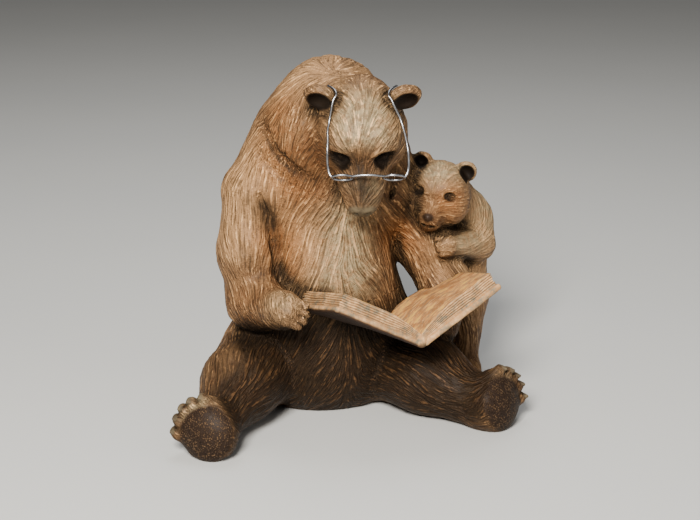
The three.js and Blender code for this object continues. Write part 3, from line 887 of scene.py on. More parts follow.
    def regions(self) -> list[Region]:
        """Names the parts of the skin that have a lie of fur of their own.

        Returns:
            The parts.
        """

        def swept_back(head: BearHead) -> Form:
            """Fur that runs back from the nose over the brow and cheeks, in the head's own frame."""

            def lie(p: Array) -> Array:
                """The lie at each place."""
                q = head.stand.own(p)
                fan = np.stack([0.13 * q[0], np.ones_like(q[0]), 0.05 * (q[2] - 2.0)])
                return head.stand.turn @ fan

            return lie

        def toe_ward(leg: Leg) -> Form:
            """Fur that runs up the foot to the toes and forwards."""
            run = leg.sole.turn @ column((0, -0.6, 1.0))
            return lambda p: np.repeat(run, p.shape[1], axis=1)

        feet = [Region(placed(leg.sole, leg.foot()), toe_ward(leg), 0.12, 0.3) for leg in self.legs]
        shins = [
            Region(blend(4, *leg.bars()), along(leg.hip, (*leg.ankle[:2], leg.ankle[2] - 4)), 0.12)
            for leg in self.legs
        ]
        return [
            Region(self.torso(), down_and_out, 0.12),
            *shins,
            *feet,
            Region(self.right_arm(), along((-18, -6, 60), (-22, -20, 34)), 0.12),
            Region(self.left_arm(), along((18, -6, 62), (33, -14, 34)), 0.1),
            Region(self.neck(), down_the_ruff, 0.24),
            Region(placed(self.head.stand, self.head.form()), swept_back(self.head), 0.085, 0.25),
            Region(self.cub_body(), along((43, 2, 60), (44, 3, 10)), 0.1, 0.8),
            Region(self.cub_arm(), along((46, -4, 44), (32.5, -15, 47)), 0.09, 0.8),
            Region(placed(self.cub_head.stand, self.cub_head.form()), swept_back(self.cub_head), 0.08, 0.9),
        ]

    def bare_places(self, p: Array) -> tuple[Array, Array]:
        """Works out where the skin is bare.

        Args:
            p: the places on the skin.

        Returns:
            How much each place is a sole's pad, and how much it is nose or claw.
        """
        pads, claws = zip(*(leg.bare(p) for leg in self.legs))
        noses = [head.bare_nose(head.stand.own(p)) for head in (self.head, self.cub_head)]
        return np.stack(pads).max(0), np.stack([*claws, *noses]).max(0)

    def stained_and_shaded(self, p: Array) -> tuple[Array, Array]:
        """Works out the patina's tints and the painted shade.

        Each spot adds its strength, fading as a bell curve of the distance over its reach. Shade is
        painted darker into the eye sockets, and over the lap, low down and towards the front.

        Args:
            p: the places on the skin.

        Returns:
            The four tints, a row each, the dark one with the painted shade in it, and how far each place lies
            in an ear or between the lids.
        """
        tints = np.zeros((4, p.shape[1]))
        for tint_spot in self.rubs_and_painted_shade:
            fade = np.exp(-((length(p - column(tint_spot.centre)) / tint_spot.reach) ** 2))
            tints[tint_spot.tint.value] += tint_spot.strength * fade
        deep = np.zeros(p.shape[1])
        dark = tints[Tint.DARK.value]
        for head in (self.head, self.cub_head):
            socket, cup_or_slit = head.shaded(head.stand.own(p))
            # Painted shade in the eye sockets.
            dark += 0.85 * socket
            deep = np.maximum(deep, cup_or_slit)
        # Painted shade over the lap: darker from z 32 down to z 20, and towards the front.
        dark += 0.5 * eased(32.0, 20.0, p[2]) * eased(-1.0, -9.0, p[1])
        return np.clip(tints, 0.0, 1.0), deep

    def carved_piece(self, share: Share, shaded: Form) -> bpy.types.Object:
        """Builds one part of the skin, carved all over.

        The locks stand off the skin by noise drawn out along the fur.

        Args:
            share: the part of the skin.
            shaded: the form of all that casts painted shade into the hollows.

        Returns:
            The piece.
        """
        form = share.cut_from(self.whole())
        skin = Skin.drawn(form, share.low, share.high, share.step).settled(form)
        p = skin.p
        normal = unit(slope_of(form, p))
        way, depth, short = lie_of_fur(self.regions(), p, normal)
        pad, bare = self.bare_places(p)
        tints, deep = self.stained_and_shaded(p)
        furred = (1.0 - np.clip(pad + bare + deep, 0, 1)) * eased(0.0, 1.2, p[2])
        locks = 0.4 * strokes(p, way, 2.1, 3.6, 11) + 0.6 * strokes(p, way, 1.0, 2.6, 12)
        # Hollowness drives the painted shade of the hollows and of the places under the book.
        hollow = hollowness(shaded, p, normal)
        relief = np.clip(locks, -2.2, 2.2) * depth * furred * eased(1.0, 0.6, hollow)
        moved = p + normal * relief
        moved[2] = np.maximum(moved[2], 0.0)
        # The dark row of places and the hollow row of lie carry painted shade.
        values = {
            "flow": way,
            "tints": tints[:3],
            "places": np.stack([tints[3], pad, bare]),
            "lie": np.stack([hollow, short, deep]),
        }
        return mesh_piece(share.name, in_metres(moved), skin.quads, values)

    def built(self, shade: Form) -> list[bpy.types.Object]:
        """Builds the bear and cub in their parts, all in one finish.

        Args:
            shade: the form of what lies against the figures and darkens them, the book.

        Returns:
            The pieces.
        """
        whole = self.whole()
        shaded: Form = lambda q: np.minimum(whole(q), shade(q))
        finish = CarvedFur().material()
        pieces = [self.carved_piece(share, shaded) for share in self.shares()]
        for piece in pieces:
            piece.data.materials.append(finish)
        return pieces


@dataclass
class Skin:
    """A form's skin as quads.

    Attributes:
        p: the corners' places, three rows, in units.
        quads: the four corners of each face.
    """

    p: Array
    quads: Array

    @classmethod
    def drawn(cls, form: Form, low: Place, high: Place, step: float) -> "Skin":
        """Draws a form's skin on a grid.

        The form is worked out on blocks of four steps first, and at every step only in the
        blocks that the skin may cross. Each cell that it crosses gets one corner, at the mean
        of the crossings on the cell's edges, and each crossed grid edge gets a quad between
        the four cells around it.

        Args:
            form: the form.
            low: the lowest corner of the grid.
            high: its highest corner.
            step: the grid's step.

        Returns:
            The skin.
        """
        block = 4 * step
        blocks = [int(math.ceil((h - l) / block)) for l, h in zip(low, high)]
        rough = [l + block * np.arange(n + 1) for l, n in zip(low, blocks)]
        corners = np.stack([g.ravel() for g in np.meshgrid(*rough, indexing="ij")])
        coarse = form(corners).reshape([n + 1 for n in blocks])
        least = np.full(blocks, np.inf)
        for n in range(8):
            i, j, k = n & 1, (n >> 1) & 1, n >> 2
            corner = coarse[i : blocks[0] + i, j : blocks[1] + j, k : blocks[2] + k]
            least = np.minimum(least, np.abs(corner))
        near = least < 1.35 * block
        shape = [4 * n + 1 for n in blocks]
        wanted = np.zeros(shape, dtype=bool)
        fine_near = near.repeat(4, 0).repeat(4, 1).repeat(4, 2)
        for n in range(8):
            i, j, k = n & 1, (n >> 1) & 1, n >> 2
            wanted[i : shape[0] - 1 + i, j : shape[1] - 1 + j, k : shape[2] - 1 + k] |= fine_near
        values = np.ones(shape, dtype=np.float32)
        values[:-1, :-1, :-1] = coarse[:-1, :-1, :-1].repeat(4, 0).repeat(4, 1).repeat(4, 2)
        spots = np.nonzero(wanted)
        origin = column(low)
        values[spots] = form(np.stack(spots) * step + origin)
        return cls._net(values, origin, step)

    @classmethod
    def _net(cls, values: Array, origin: Array, step: float) -> "Skin":
        """Strings the skin through a grid.

        Args:
            values: the form's values on the grid, negative inside.
            origin: the grid's lowest corner.
            step: the grid's step.

        Returns:
            The skin.
        """
        inside = values < 0
        cells = [n - 1 for n in values.shape]
        total = np.zeros([3] + cells, dtype=np.float32)
        count = np.zeros(cells, dtype=np.int16)
        for axis in range(3):
            one, two = [a for a in range(3) if a != axis]
            for n in range(4):
                shift = [0, 0, 0]
                shift[one], shift[two] = n & 1, n >> 1
                here = tuple(slice(shift[a], shift[a] + cells[a]) for a in range(3))
                shift[axis] = 1
                there = tuple(slice(shift[a], shift[a] + cells[a]) for a in range(3))
                crossed = inside[here] != inside[there]
                a, b = values[here][crossed], values[there][crossed]
                count += crossed
                for k in range(3):
                    total[k][crossed] += a / (a - b) if k == axis else float(shift[k])
        full = count > 0
        number = np.full(cells, -1, dtype=np.int64)
        number[full] = np.arange(int(full.sum()))
        spots = np.stack(np.nonzero(full)).astype(float)
        p = (spots + total[:, full] / count[full]) * step + origin
        faces = []
        for axis in range(3):
            one, two = (axis + 1) % 3, (axis + 2) % 3
            start = [0, 0, 0]
            start[one] = start[two] = 1
            here = tuple(slice(start[a], cells[a]) for a in range(3))
            there = tuple(slice(start[a] + (a == axis), cells[a] + (a == axis)) for a in range(3))
            leaving = inside[here] & ~inside[there]
            entering = ~inside[here] & inside[there]
            for crossed, order in ((leaving, (0, 1, 2, 3)), (entering, (3, 2, 1, 0))):
                spot = np.stack(np.nonzero(crossed))
                for a in range(3):
                    spot[a] += start[a]
                ring = []
                for back_one, back_two in ((1, 1), (0, 1), (0, 0), (1, 0)):
                    cell = spot.copy()
                    cell[one] -= back_one
                    cell[two] -= back_two
                    ring.append(number[cell[0], cell[1], cell[2]])
                faces.append(np.stack([ring[i] for i in order], axis=1))
        return cls(p, np.concatenate(faces))

    def settled(self, form: Form, turns: int = 2) -> "Skin":
        """The skin moved onto the form: each corner goes back along the slope by its distance over it.

        Args:
            form: the form.
            turns: how many times.

        Returns:
            The moved skin, with its foot on the table.
        """
        p = self.p
        for _ in range(turns):
            slope = slope_of(form, p)
            p = p - np.clip(form(p), -0.4, 0.4) * slope / np.maximum((slope * slope).sum(0), 0.2)
        p[2] = np.where(p[2] < 0.04, 0.0, p[2])
        return Skin(p, self.quads)


def lie_of_fur(regions: Sequence[Region], p: Array, normal: Array) -> tuple[Array, Array, Array]:
    """Works out how the fur lies.

    Each region counts by e to the minus of its distance over 1.4 units. The mean way is laid
    in the skin and turned a little by slow noise.

    Args:
        regions: the parts of the skin.
        p: the places.
        normal: the skin's outward way at each.

    Returns:
        The way of the fur, how deep the locks are, and how short it is.
    """
    way = np.zeros_like(p)
    depth, short, total = np.zeros((3, p.shape[1]))
    for region in regions:
        share = np.exp(-np.maximum(region.form(p), -0.5) / 1.4) + 1e-9
        way += share * unit(region.lie(p))
        depth += share * region.stroke
        short += share * region.short
        total += share
    flat = unit(way - normal * (way * normal).sum(0))
    aside = np.cross(normal.T, flat.T).T
    angle = 0.45 * grain(p, 10.0, 5) + 0.18 * grain(p, 4.2, 6)
    return unit(flat * np.cos(angle) + aside * np.sin(angle)), depth / total, short / total


def hollowness(form: Form, p: Array, normal: Array) -> Array:
    """How deep each place lies in a hollow, which the finish paints as shade: the share of room missing at
    four distances out, on a mean.

    Args:
        form: the form of all that may shade a place.
        p: the places.
        normal: the skin's outward way at each.

    Returns:
        The hollowness at each place, from 0 to 1.
    """
    missing = np.zeros(p.shape[1])
    for out in (0.7, 2.0, 5.0, 11.0):
        missing += np.clip(1.0 - form(p + normal * out) / out, 0.0, 1.0)
    return missing / 4.0


# Meshes.


def in_metres(p: Array) -> Array:
    """Places in units as rows of metres in the shared frame."""
    return ((p - column(FOOTPRINT_MIDDLE)) * UNIT).T


def mesh_piece(name: str, rows: Array, faces: Array, values: dict[str, Array]) -> bpy.types.Object:
    """Makes a smooth mesh object.

    Args:
        name: the object's name.
        rows: its corners, in metres.
        faces: the corners of each face.
        values: numbers or vectors for each corner, by name.

    Returns:
        The object, linked to the scene.
    """
    mesh = bpy.data.meshes.new(name)
    mesh.from_pydata(rows, [], faces.tolist())
    for key, data in values.items():
        kind, slot = ("FLOAT", "value") if data.ndim == 1 else ("FLOAT_VECTOR", "vector")
        layer = mesh.attributes.new(key, kind, "POINT")
        layer.data.foreach_set(slot, np.ascontiguousarray(data.T, dtype=np.float32).ravel())
    mesh.shade_smooth()
    piece = bpy.data.objects.new(name, mesh)
    bpy.context.scene.collection.objects.link(piece)
    return piece


def sleeve(steps: int, around: int, closed: bool) -> Array:
    """The quads of a sleeve: rings of corners along a path and, on an open one, the middle of each end.

    A closed sleeve's last ring meets its first. An open one's caps fan out from the two middles.

    Args:
        steps: how many rings.
        around: the corners of a ring, an even number.
        closed: whether the path meets itself.

    Returns:
        The quads.
    """
    ring = np.arange(around)
    after = (ring + 1) % around
    here = (np.arange(steps if closed else steps - 1) * around)[:, None]
    there = (here + around) % (steps * around)
    round_it = (here + ring, there + ring, there + after, here + after)
    quads = np.stack([corners.ravel() for corners in round_it], axis=1)
    if closed:
        return quads
    first, top = steps * around, (steps - 1) * around
    a = np.arange(0, around, 2)
    b, c = a + 1, (a + 2) % around
    low = np.stack([np.full(a.size, first), a, b, c], axis=1)
    high = np.stack([np.full(a.size, first + 1), top + c, top + b, top + a], axis=1)
    return np.concatenate([quads, low, high])


def curve_through(places: Array, steps: int) -> Array:
    """A smooth curve through places.

    Each span is a cubic that leaves and reaches its two places along the mean of the slopes on
    either side, weighted by the square roots of the spans' lengths.

    Args:
        places: the places, three rows.
        steps: how many points to a span.

    Returns:
        The points, with the last place at the end.
    """
    before, beyond = 2 * places[:, :1] - places[:, 1:2], 2 * places[:, -1:] - places[:, -2:-1]
    x = np.concatenate([before, places, beyond], axis=1)
    gap = np.sqrt(length(np.diff(x, axis=1)))
    a, b, c = gap[:-2], gap[1:-1], gap[2:]
    x0, x1, x2, x3 = x[:, :-3], x[:, 1:-2], x[:, 2:-1], x[:, 3:]
    leaving = b * ((x1 - x0) / a - (x2 - x0) / (a + b) + (x2 - x1) / b)
    reaching = b * ((x2 - x1) / b - (x3 - x1) / (b + c) + (x3 - x2) / c)
    t = np.arange(steps) / steps
    spans = (
        x1[:, :, None] * (2 * t**3 - 3 * t**2 + 1)
        + leaving[:, :, None] * (t**3 - 2 * t**2 + t)
        + x2[:, :, None] * (3 * t**2 - 2 * t**3)
        + reaching[:, :, None] * (t**3 - t**2)
    )
    return np.concatenate([spans.reshape(3, -1), places[:, -1:]], axis=1)


# Finishes.


class Wire:
    """A shader value, with arithmetic that adds Math nodes."""

    def __init__(self, bench: "Bench", socket: bpy.types.NodeSocket) -> None:
        """Wraps a socket of a bench's tree."""
        self.bench = bench
        self.socket = socket

    def _with(self, operation: str, *inputs: object) -> "Wire":
        """A Math node's result."""
        return self.bench.node("ShaderNodeMath", {"operation": operation}, *inputs)

    def __add__(self, other: object) -> "Wire":
        """The sum."""
        return self._with("ADD", self, other)

    def __sub__(self, other: object) -> "Wire":
        """The difference."""
        return self._with("SUBTRACT", self, other)

    def __mul__(self, other: object) -> "Wire":
        """The product."""
        return self._with("MULTIPLY", self, other)

    def __rsub__(self, other: object) -> "Wire":
        """The difference, the other way round."""
        return self._with("SUBTRACT", other, self)

    __radd__ = __add__
    __rmul__ = __mul__

    def clamped(self) -> "Wire":
        """The value kept between 0 and 1."""
        return self.bench.node("ShaderNodeClamp", {}, self, 0.0, 1.0)

    def ramp(self, low: float, high: float) -> "Wire":
        """A smooth step from 0 at low to 1 at high."""
        settings = {"interpolation_type": "SMOOTHSTEP"}
        return self.bench.node("ShaderNodeMapRange", settings, self, low, high, 0.0, 1.0)


class Bench:
    """Builds one material's nodes."""

    def __init__(self, name: str) -> None:
        """Starts a material of a name, with one Principled shader."""
        self.material = bpy.data.materials.new(name)
        self.material.use_nodes = True
        self.tree = self.material.node_tree
        self.shader = next(n for n in self.tree.nodes if n.type == "BSDF_PRINCIPLED")

    def node(self, kind: str, settings: dict, *inputs: object, out: object = 0, **named: object) -> Wire:
        """Adds a node.

        Args:
            kind: the node's type.
            settings: its settings, which are set first.
            inputs: values or wires for its first sockets, in order.
            out: the name or number of the socket wanted.
            named: values or wires for sockets by name, with _ for a space.

        Returns:
            The wanted output.
        """
        made = self.tree.nodes.new(kind)
        for key, value in settings.items():
            setattr(made, key, value)
        pairs = [(made.inputs[i], value) for i, value in enumerate(inputs)]
        pairs += [(made.inputs[key.replace("_", " ")], value) for key, value in named.items()]
        for socket, value in pairs:
            self.feed(socket, value)
        return Wire(self, made.outputs[out])

    def feed(self, socket: bpy.types.NodeSocket, value: object) -> None:
        """Links a wire to a socket, or sets its value.

        Args:
            socket: the socket.
            value: a wire, or a value that is the same all over.
        """
        if isinstance(value, Wire):
            self.tree.links.new(value.socket, socket)
        else:
            socket.default_value = value

    def place(self) -> Wire:
        """The place on the object, in metres."""
        return self.node("ShaderNodeTexCoord", {}, out="Object")

    def attribute(self, name: str, out: str = "Fac") -> Wire:
        """A value carried by the mesh."""
        return self.node("ShaderNodeAttribute", {"attribute_name": name}, out=out)

    def parts(self, vector: Wire) -> list[Wire]:
        """The three parts of a vector."""
        split = self.node("ShaderNodeSeparateXYZ", {}, vector)
        return [Wire(self, split.socket.node.outputs[i]) for i in range(3)]

    def noise(self, at: Wire, size: float, detail: float = 0.0, roughness: float = 0.5) -> Wire:
        """Noise whose grains are of a size in metres."""
        scale = 1.0 / size
        return self.node("ShaderNodeTexNoise", {}, Vector=at, Scale=scale, Detail=detail, Roughness=roughness)

    def moved(self, at: Wire, by: Wire, amount: float) -> Wire:
        """A place moved along a vector by an amount."""
        return self.node("ShaderNodeVectorMath", {"operation": "MULTIPLY_ADD"}, by, (amount,) * 3, at)

    def mix(self, share: object, a: object, b: object) -> Wire:
        """A mix of two colours.

        Args:
            share: how much of the second.
            a: the first colour.
            b: the second colour.

        Returns:
            The mixed colour.
        """
        made = self.node("ShaderNodeMix", {"data_type": "RGBA", "blend_type": "MIX"}, share)
        node = made.socket.node
        for socket, value in ((node.inputs[6], a), (node.inputs[7], b)):
            self.feed(socket, (*value, 1.0) if isinstance(value, tuple) else value)
        return Wire(self, node.outputs[2])

    def finish(self, colour: Wire, roughness: object, height: Wire, depth: float) -> None:
        """Feeds the shader.

        Args:
            colour: the base colour.
            roughness: the roughness.
            height: the relief, from 0 to 1.
            depth: how deep the relief is, in metres.
        """
        self.feed(self.shader.inputs["Base Color"], colour)
        self.feed(self.shader.inputs["Roughness"], roughness)
        bump = self.node("ShaderNodeBump", {}, Strength=1.0, Distance=depth, Height=height)
        self.feed(self.shader.inputs["Normal"], bump)


Colour = tuple[float, float, float]


@dataclass(frozen=True)
class CarvedFur:
    """The cast fur's brown patina: pale ridges over dark grooves, stained and rubbed in places, with shade
    painted into the hollows, creases, eye sockets, ear cups and the lap.
    """

    ground: Colour = (0.085, 0.040, 0.018)
    tan: Colour = (0.320, 0.180, 0.082)
    greyed: Colour = (0.280, 0.218, 0.125)
    ginger: Colour = (0.250, 0.085, 0.020)
    dark: Colour = (0.006, 0.0035, 0.002)
    ridge: Colour = (0.760, 0.460, 0.215)
    ridge_ginger: Colour = (0.52, 0.25, 0.09)
    ridge_dark: Colour = (0.270, 0.125, 0.048)
    pad: Colour = (0.019, 0.011, 0.007)
    pad_worn: Colour = (0.280, 0.165, 0.080)
    bare: Colour = (0.060, 0.047, 0.030)
    cloud_size: float = 0.016
    blotch_size: float = 0.006
    pebble_size: float = 0.0016
    ridge_spacing: float = 0.0017
    stroke_reach: float = 0.0085
    fine_spacing: float = 0.0009
    fine_reach: float = 0.0024
    relief: float = 0.0009

    def strokes(self, bench: Bench, place: Wire, flow: Wire, size: float, reach: float, taps: int) -> Wire:
        """Noise drawn out along the flow: the mean of equal taps from -reach to reach.

        Args:
            bench: the material's bench.
            place: the place on the object.
            flow: the way of the fur.
            size: the size of the noise's grains, in metres.
            reach: how far the taps go, in metres.
            taps: how many taps.

        Returns:
            The noise.
        """
        total: Optional[Wire] = None
        for i in range(taps):
            amount = reach * (2.0 * i / (taps - 1) - 1.0)
            tap = bench.noise(bench.moved(place, flow, amount), size)
            total = tap if total is None else total + tap
        return total * (1.0 / taps)

    def material(self) -> bpy.types.Material:
        """Mixes the finish.

        The colours are laid over each other from the ground up: the tints, the painted shade of the
        hollows, the dark grooves, the pale ridges, and last the pads, noses, eyes and the ear cups' painted
        shade.

        Returns:
            The material.
        """
        bench = Bench("carved_fur_patina")
        place = bench.place()
        flow = bench.attribute("flow", "Vector")
        tan, greyed, ginger = bench.parts(bench.attribute("tints", "Vector"))
        dark, pad, bare = bench.parts(bench.attribute("places", "Vector"))
        hollow, short, deep = bench.parts(bench.attribute("lie", "Vector"))
        cloud = bench.noise(place, self.cloud_size, 3.0, 0.6)
        blotch = bench.noise(place, self.blotch_size, 4.0, 0.65)
        long_strokes = self.strokes(bench, place, flow, self.ridge_spacing, self.stroke_reach, 13)
        fine_strokes = self.strokes(bench, place, flow, self.fine_spacing, self.fine_reach, 5)
        furred = 1.0 - (pad + bare + deep).clamped()
        ridge = long_strokes.ramp(0.53, 0.568)
        groove = long_strokes.ramp(0.495, 0.43)
        fine = fine_strokes.ramp(0.42, 0.62)
        patchy = blotch.ramp(0.35, 0.62)
        # Painted shade: the pale ridges dim in the hollows.
        light = (1.0 - hollow * 1.25).clamped()

        colour = bench.mix(cloud.ramp(0.35, 0.7) * 0.55, self.ground, self.tan)
        colour = bench.mix((tan * (0.55 + 0.6 * cloud)).clamped(), colour, self.tan)
        colour = bench.mix((greyed * (0.35 + 0.9 * patchy)).clamped(), colour, self.greyed)
        colour = bench.mix((ginger * (0.4 + 0.8 * blotch)).clamped(), colour, self.ginger)
        # Painted shade in the hollows.
        colour = bench.mix((hollow.ramp(0.12, 0.52) * 0.95).clamped(), colour, self.dark)
        # The dark tint: patina stains, with painted shade in the creases, sockets, lap and legs.
        colour = bench.mix((dark * (0.75 + 0.45 * cloud)).clamped() * 0.95, colour, self.dark)
        colour = bench.mix(groove * furred * (0.68 - 0.38 * short), colour, self.dark)
        # The pale ridges dim with the painted shade, and where the dark tint lies.
        shine = ridge * furred * (0.28 + 0.72 * patchy) * (0.25 + 0.75 * light)
        shine = shine * (1.0 - 0.7 * dark) * (1.0 - 0.4 * short)
        crest = bench.mix((ginger * 0.6).clamped(), self.ridge, self.ridge_ginger)
        crest = bench.mix((dark * 0.9).clamped(), crest, self.ridge_dark)
        colour = bench.mix((shine * 0.8).clamped(), colour, crest)
        colour = bench.mix((fine * furred * (1.0 - 0.8 * dark) * 0.12).clamped(), colour, self.ridge)

        scale = 1.0 / self.pebble_size
        pebbles = bench.node("ShaderNodeTexVoronoi", {}, Vector=place, Scale=scale, out="Distance")
        pebble = 1.0 - pebbles.ramp(0.12, 0.62)
        sole = bench.mix((pebble * patchy * 0.42).clamped(), self.pad, self.pad_worn)
        colour = bench.mix(pad, colour, sole)
        nose = bench.mix(short.ramp(0.4, 0.8), bench.mix(patchy * 0.3, self.bare, self.greyed), self.pad)
        colour = bench.mix((bare * 0.9).clamped(), colour, nose)
        # Near black in the ear cups as painted shade, and in the slit between the lids.
        colour = bench.mix((deep * 0.97).clamped(), colour, self.dark)

        furred_height = long_strokes.ramp(0.44, 0.565) * (1.0 - 0.4 * short) + 0.14 * fine
        height = furred_height * furred + pad * pebble * 0.9 + 0.12 * blotch
        roughness = (0.52 - 0.10 * ridge * furred - 0.1 * bare + 0.12 * patchy + 0.12 * hollow).clamped()
        bench.finish(colour, roughness, height, self.relief)
        open_to_light = (1.0 - 2.0 * hollow).clamped() * (1.0 - deep) * (1.0 - 0.6 * dark)
        bench.feed(bench.shader.inputs["Coat Weight"], (open_to_light * 0.1).clamped())
        bench.shader.inputs["Coat Roughness"].default_value = 0.42
        bench.shader.inputs["Specular IOR Level"].default_value = 0.1
        bench.shader.inputs["Metallic"].default_value = 0.15
        return bench.material


@dataclass(frozen=True)
class BookPatina:
    """The book's rust and ochre patina, with pale page edges over dark lines, and painted shade on its
    undersides and next to the figures.
    """

    ground: Colour = (0.280, 0.120, 0.040)
    ochre: Colour = (0.560, 0.265, 0.085)
    yellow: Colour = (0.620, 0.370, 0.075)
    paper: Colour = (0.600, 0.365, 0.175)
    greyed: Colour = (0.185, 0.150, 0.098)
    dark: Colour = (0.022, 0.013, 0.009)
    shaded: Colour = (0.040, 0.021, 0.012)
    cloud_size: float = 0.011
    blotch_size: float = 0.0035
    streak_size: float = 0.0028
    streak_squeeze: float = 0.13
    streak_slant: float = 8.0
    relief: float = 0.0006

    def material(self) -> bpy.types.Material:
        """Mixes the finish.

        The pages take streaks drawn out across each leaf, the edges wear to paper and grey, and the lines
        between leaves are dark; shade is painted onto the lower faces, the underside and where the figures
        lie close.

        Returns:
            The material.
        """
        bench = Bench("book_patina")
        place = bench.place()
        page, edge, under = bench.parts(bench.attribute("leaf", "Vector"))
        line = bench.attribute("line")
        side = bench.attribute("side")
        hollow = bench.attribute("hollow")
        long_way = bench.node(
            "ShaderNodeMapping",
            {},
            bench.attribute("sheet", "Vector"),
            (0, 0, 0),
            (0, 0, math.radians(self.streak_slant)),
            (self.streak_squeeze, 1.0, 1.0),
        )
        cloud = bench.noise(place, self.cloud_size, 3.0, 0.6)
        blotch = bench.noise(place, self.blotch_size, 4.0, 0.65)
        streak = bench.noise(long_way, self.streak_size, 4.0, 0.65)

        colour = bench.mix(cloud.ramp(0.36, 0.66), self.ground, self.ochre)
        colour = bench.mix(page * streak.ramp(0.5, 0.62) * 0.6, colour, self.paper)
        colour = bench.mix(page * (cloud * streak * 2.0).ramp(0.54, 0.74) * 0.85, colour, self.yellow)
        colour = bench.mix(page * streak.ramp(0.48, 0.38) * 0.85, colour, self.greyed)
        worn = bench.mix(cloud.ramp(0.4, 0.6), self.paper, self.greyed)
        colour = bench.mix(edge * (0.45 + 0.55 * blotch.ramp(0.4, 0.6)), colour, worn)
        colour = bench.mix(line * (0.85 - 0.45 * side), colour, self.dark)
        # Painted shade on the lower faces of her right half.
        colour = bench.mix((side * (0.85 + 0.3 * cloud)).clamped(), colour, self.shaded)
        # Painted shade on the underside.
        colour = bench.mix(under * (0.75 + 0.2 * cloud), colour, self.dark)
        # Painted shade where the figures lie close.
        colour = bench.mix((hollow.ramp(0.25, 0.9) * 0.8).clamped(), colour, self.dark)
        height = 0.5 * blotch + 0.5 * streak * (1.0 - edge * 0.6)
        roughness = (0.55 + 0.2 * blotch).clamped()
        bench.finish(colour, roughness, height, self.relief)
        bench.shader.inputs["Specular IOR Level"].default_value = 0.15
        return bench.material


@dataclass(frozen=True)
class SteelWire:
    """Bright drawn steel wire, a little smudged."""

    colour: Colour = (0.30, 0.31, 0.33)
    smudged: Colour = (0.14, 0.14, 0.15)
    smudge_size: float = 0.004
    relief: float = 0.00005

    def material(self) -> bpy.types.Material:
        """Mixes the finish.

        Returns:
            The material.
        """
        bench = Bench("drawn_steel_wire")
        smudge = bench.noise(bench.place(), self.smudge_size, 3.0)
        colour = bench.mix(smudge.ramp(0.42, 0.7) * 0.5, self.colour, self.smudged)
        bench.finish(colour, (0.22 + 0.16 * smudge).clamped(), smudge, self.relief)
        bench.shader.inputs["Metallic"].default_value = 1.0
        return bench.material


# The book.


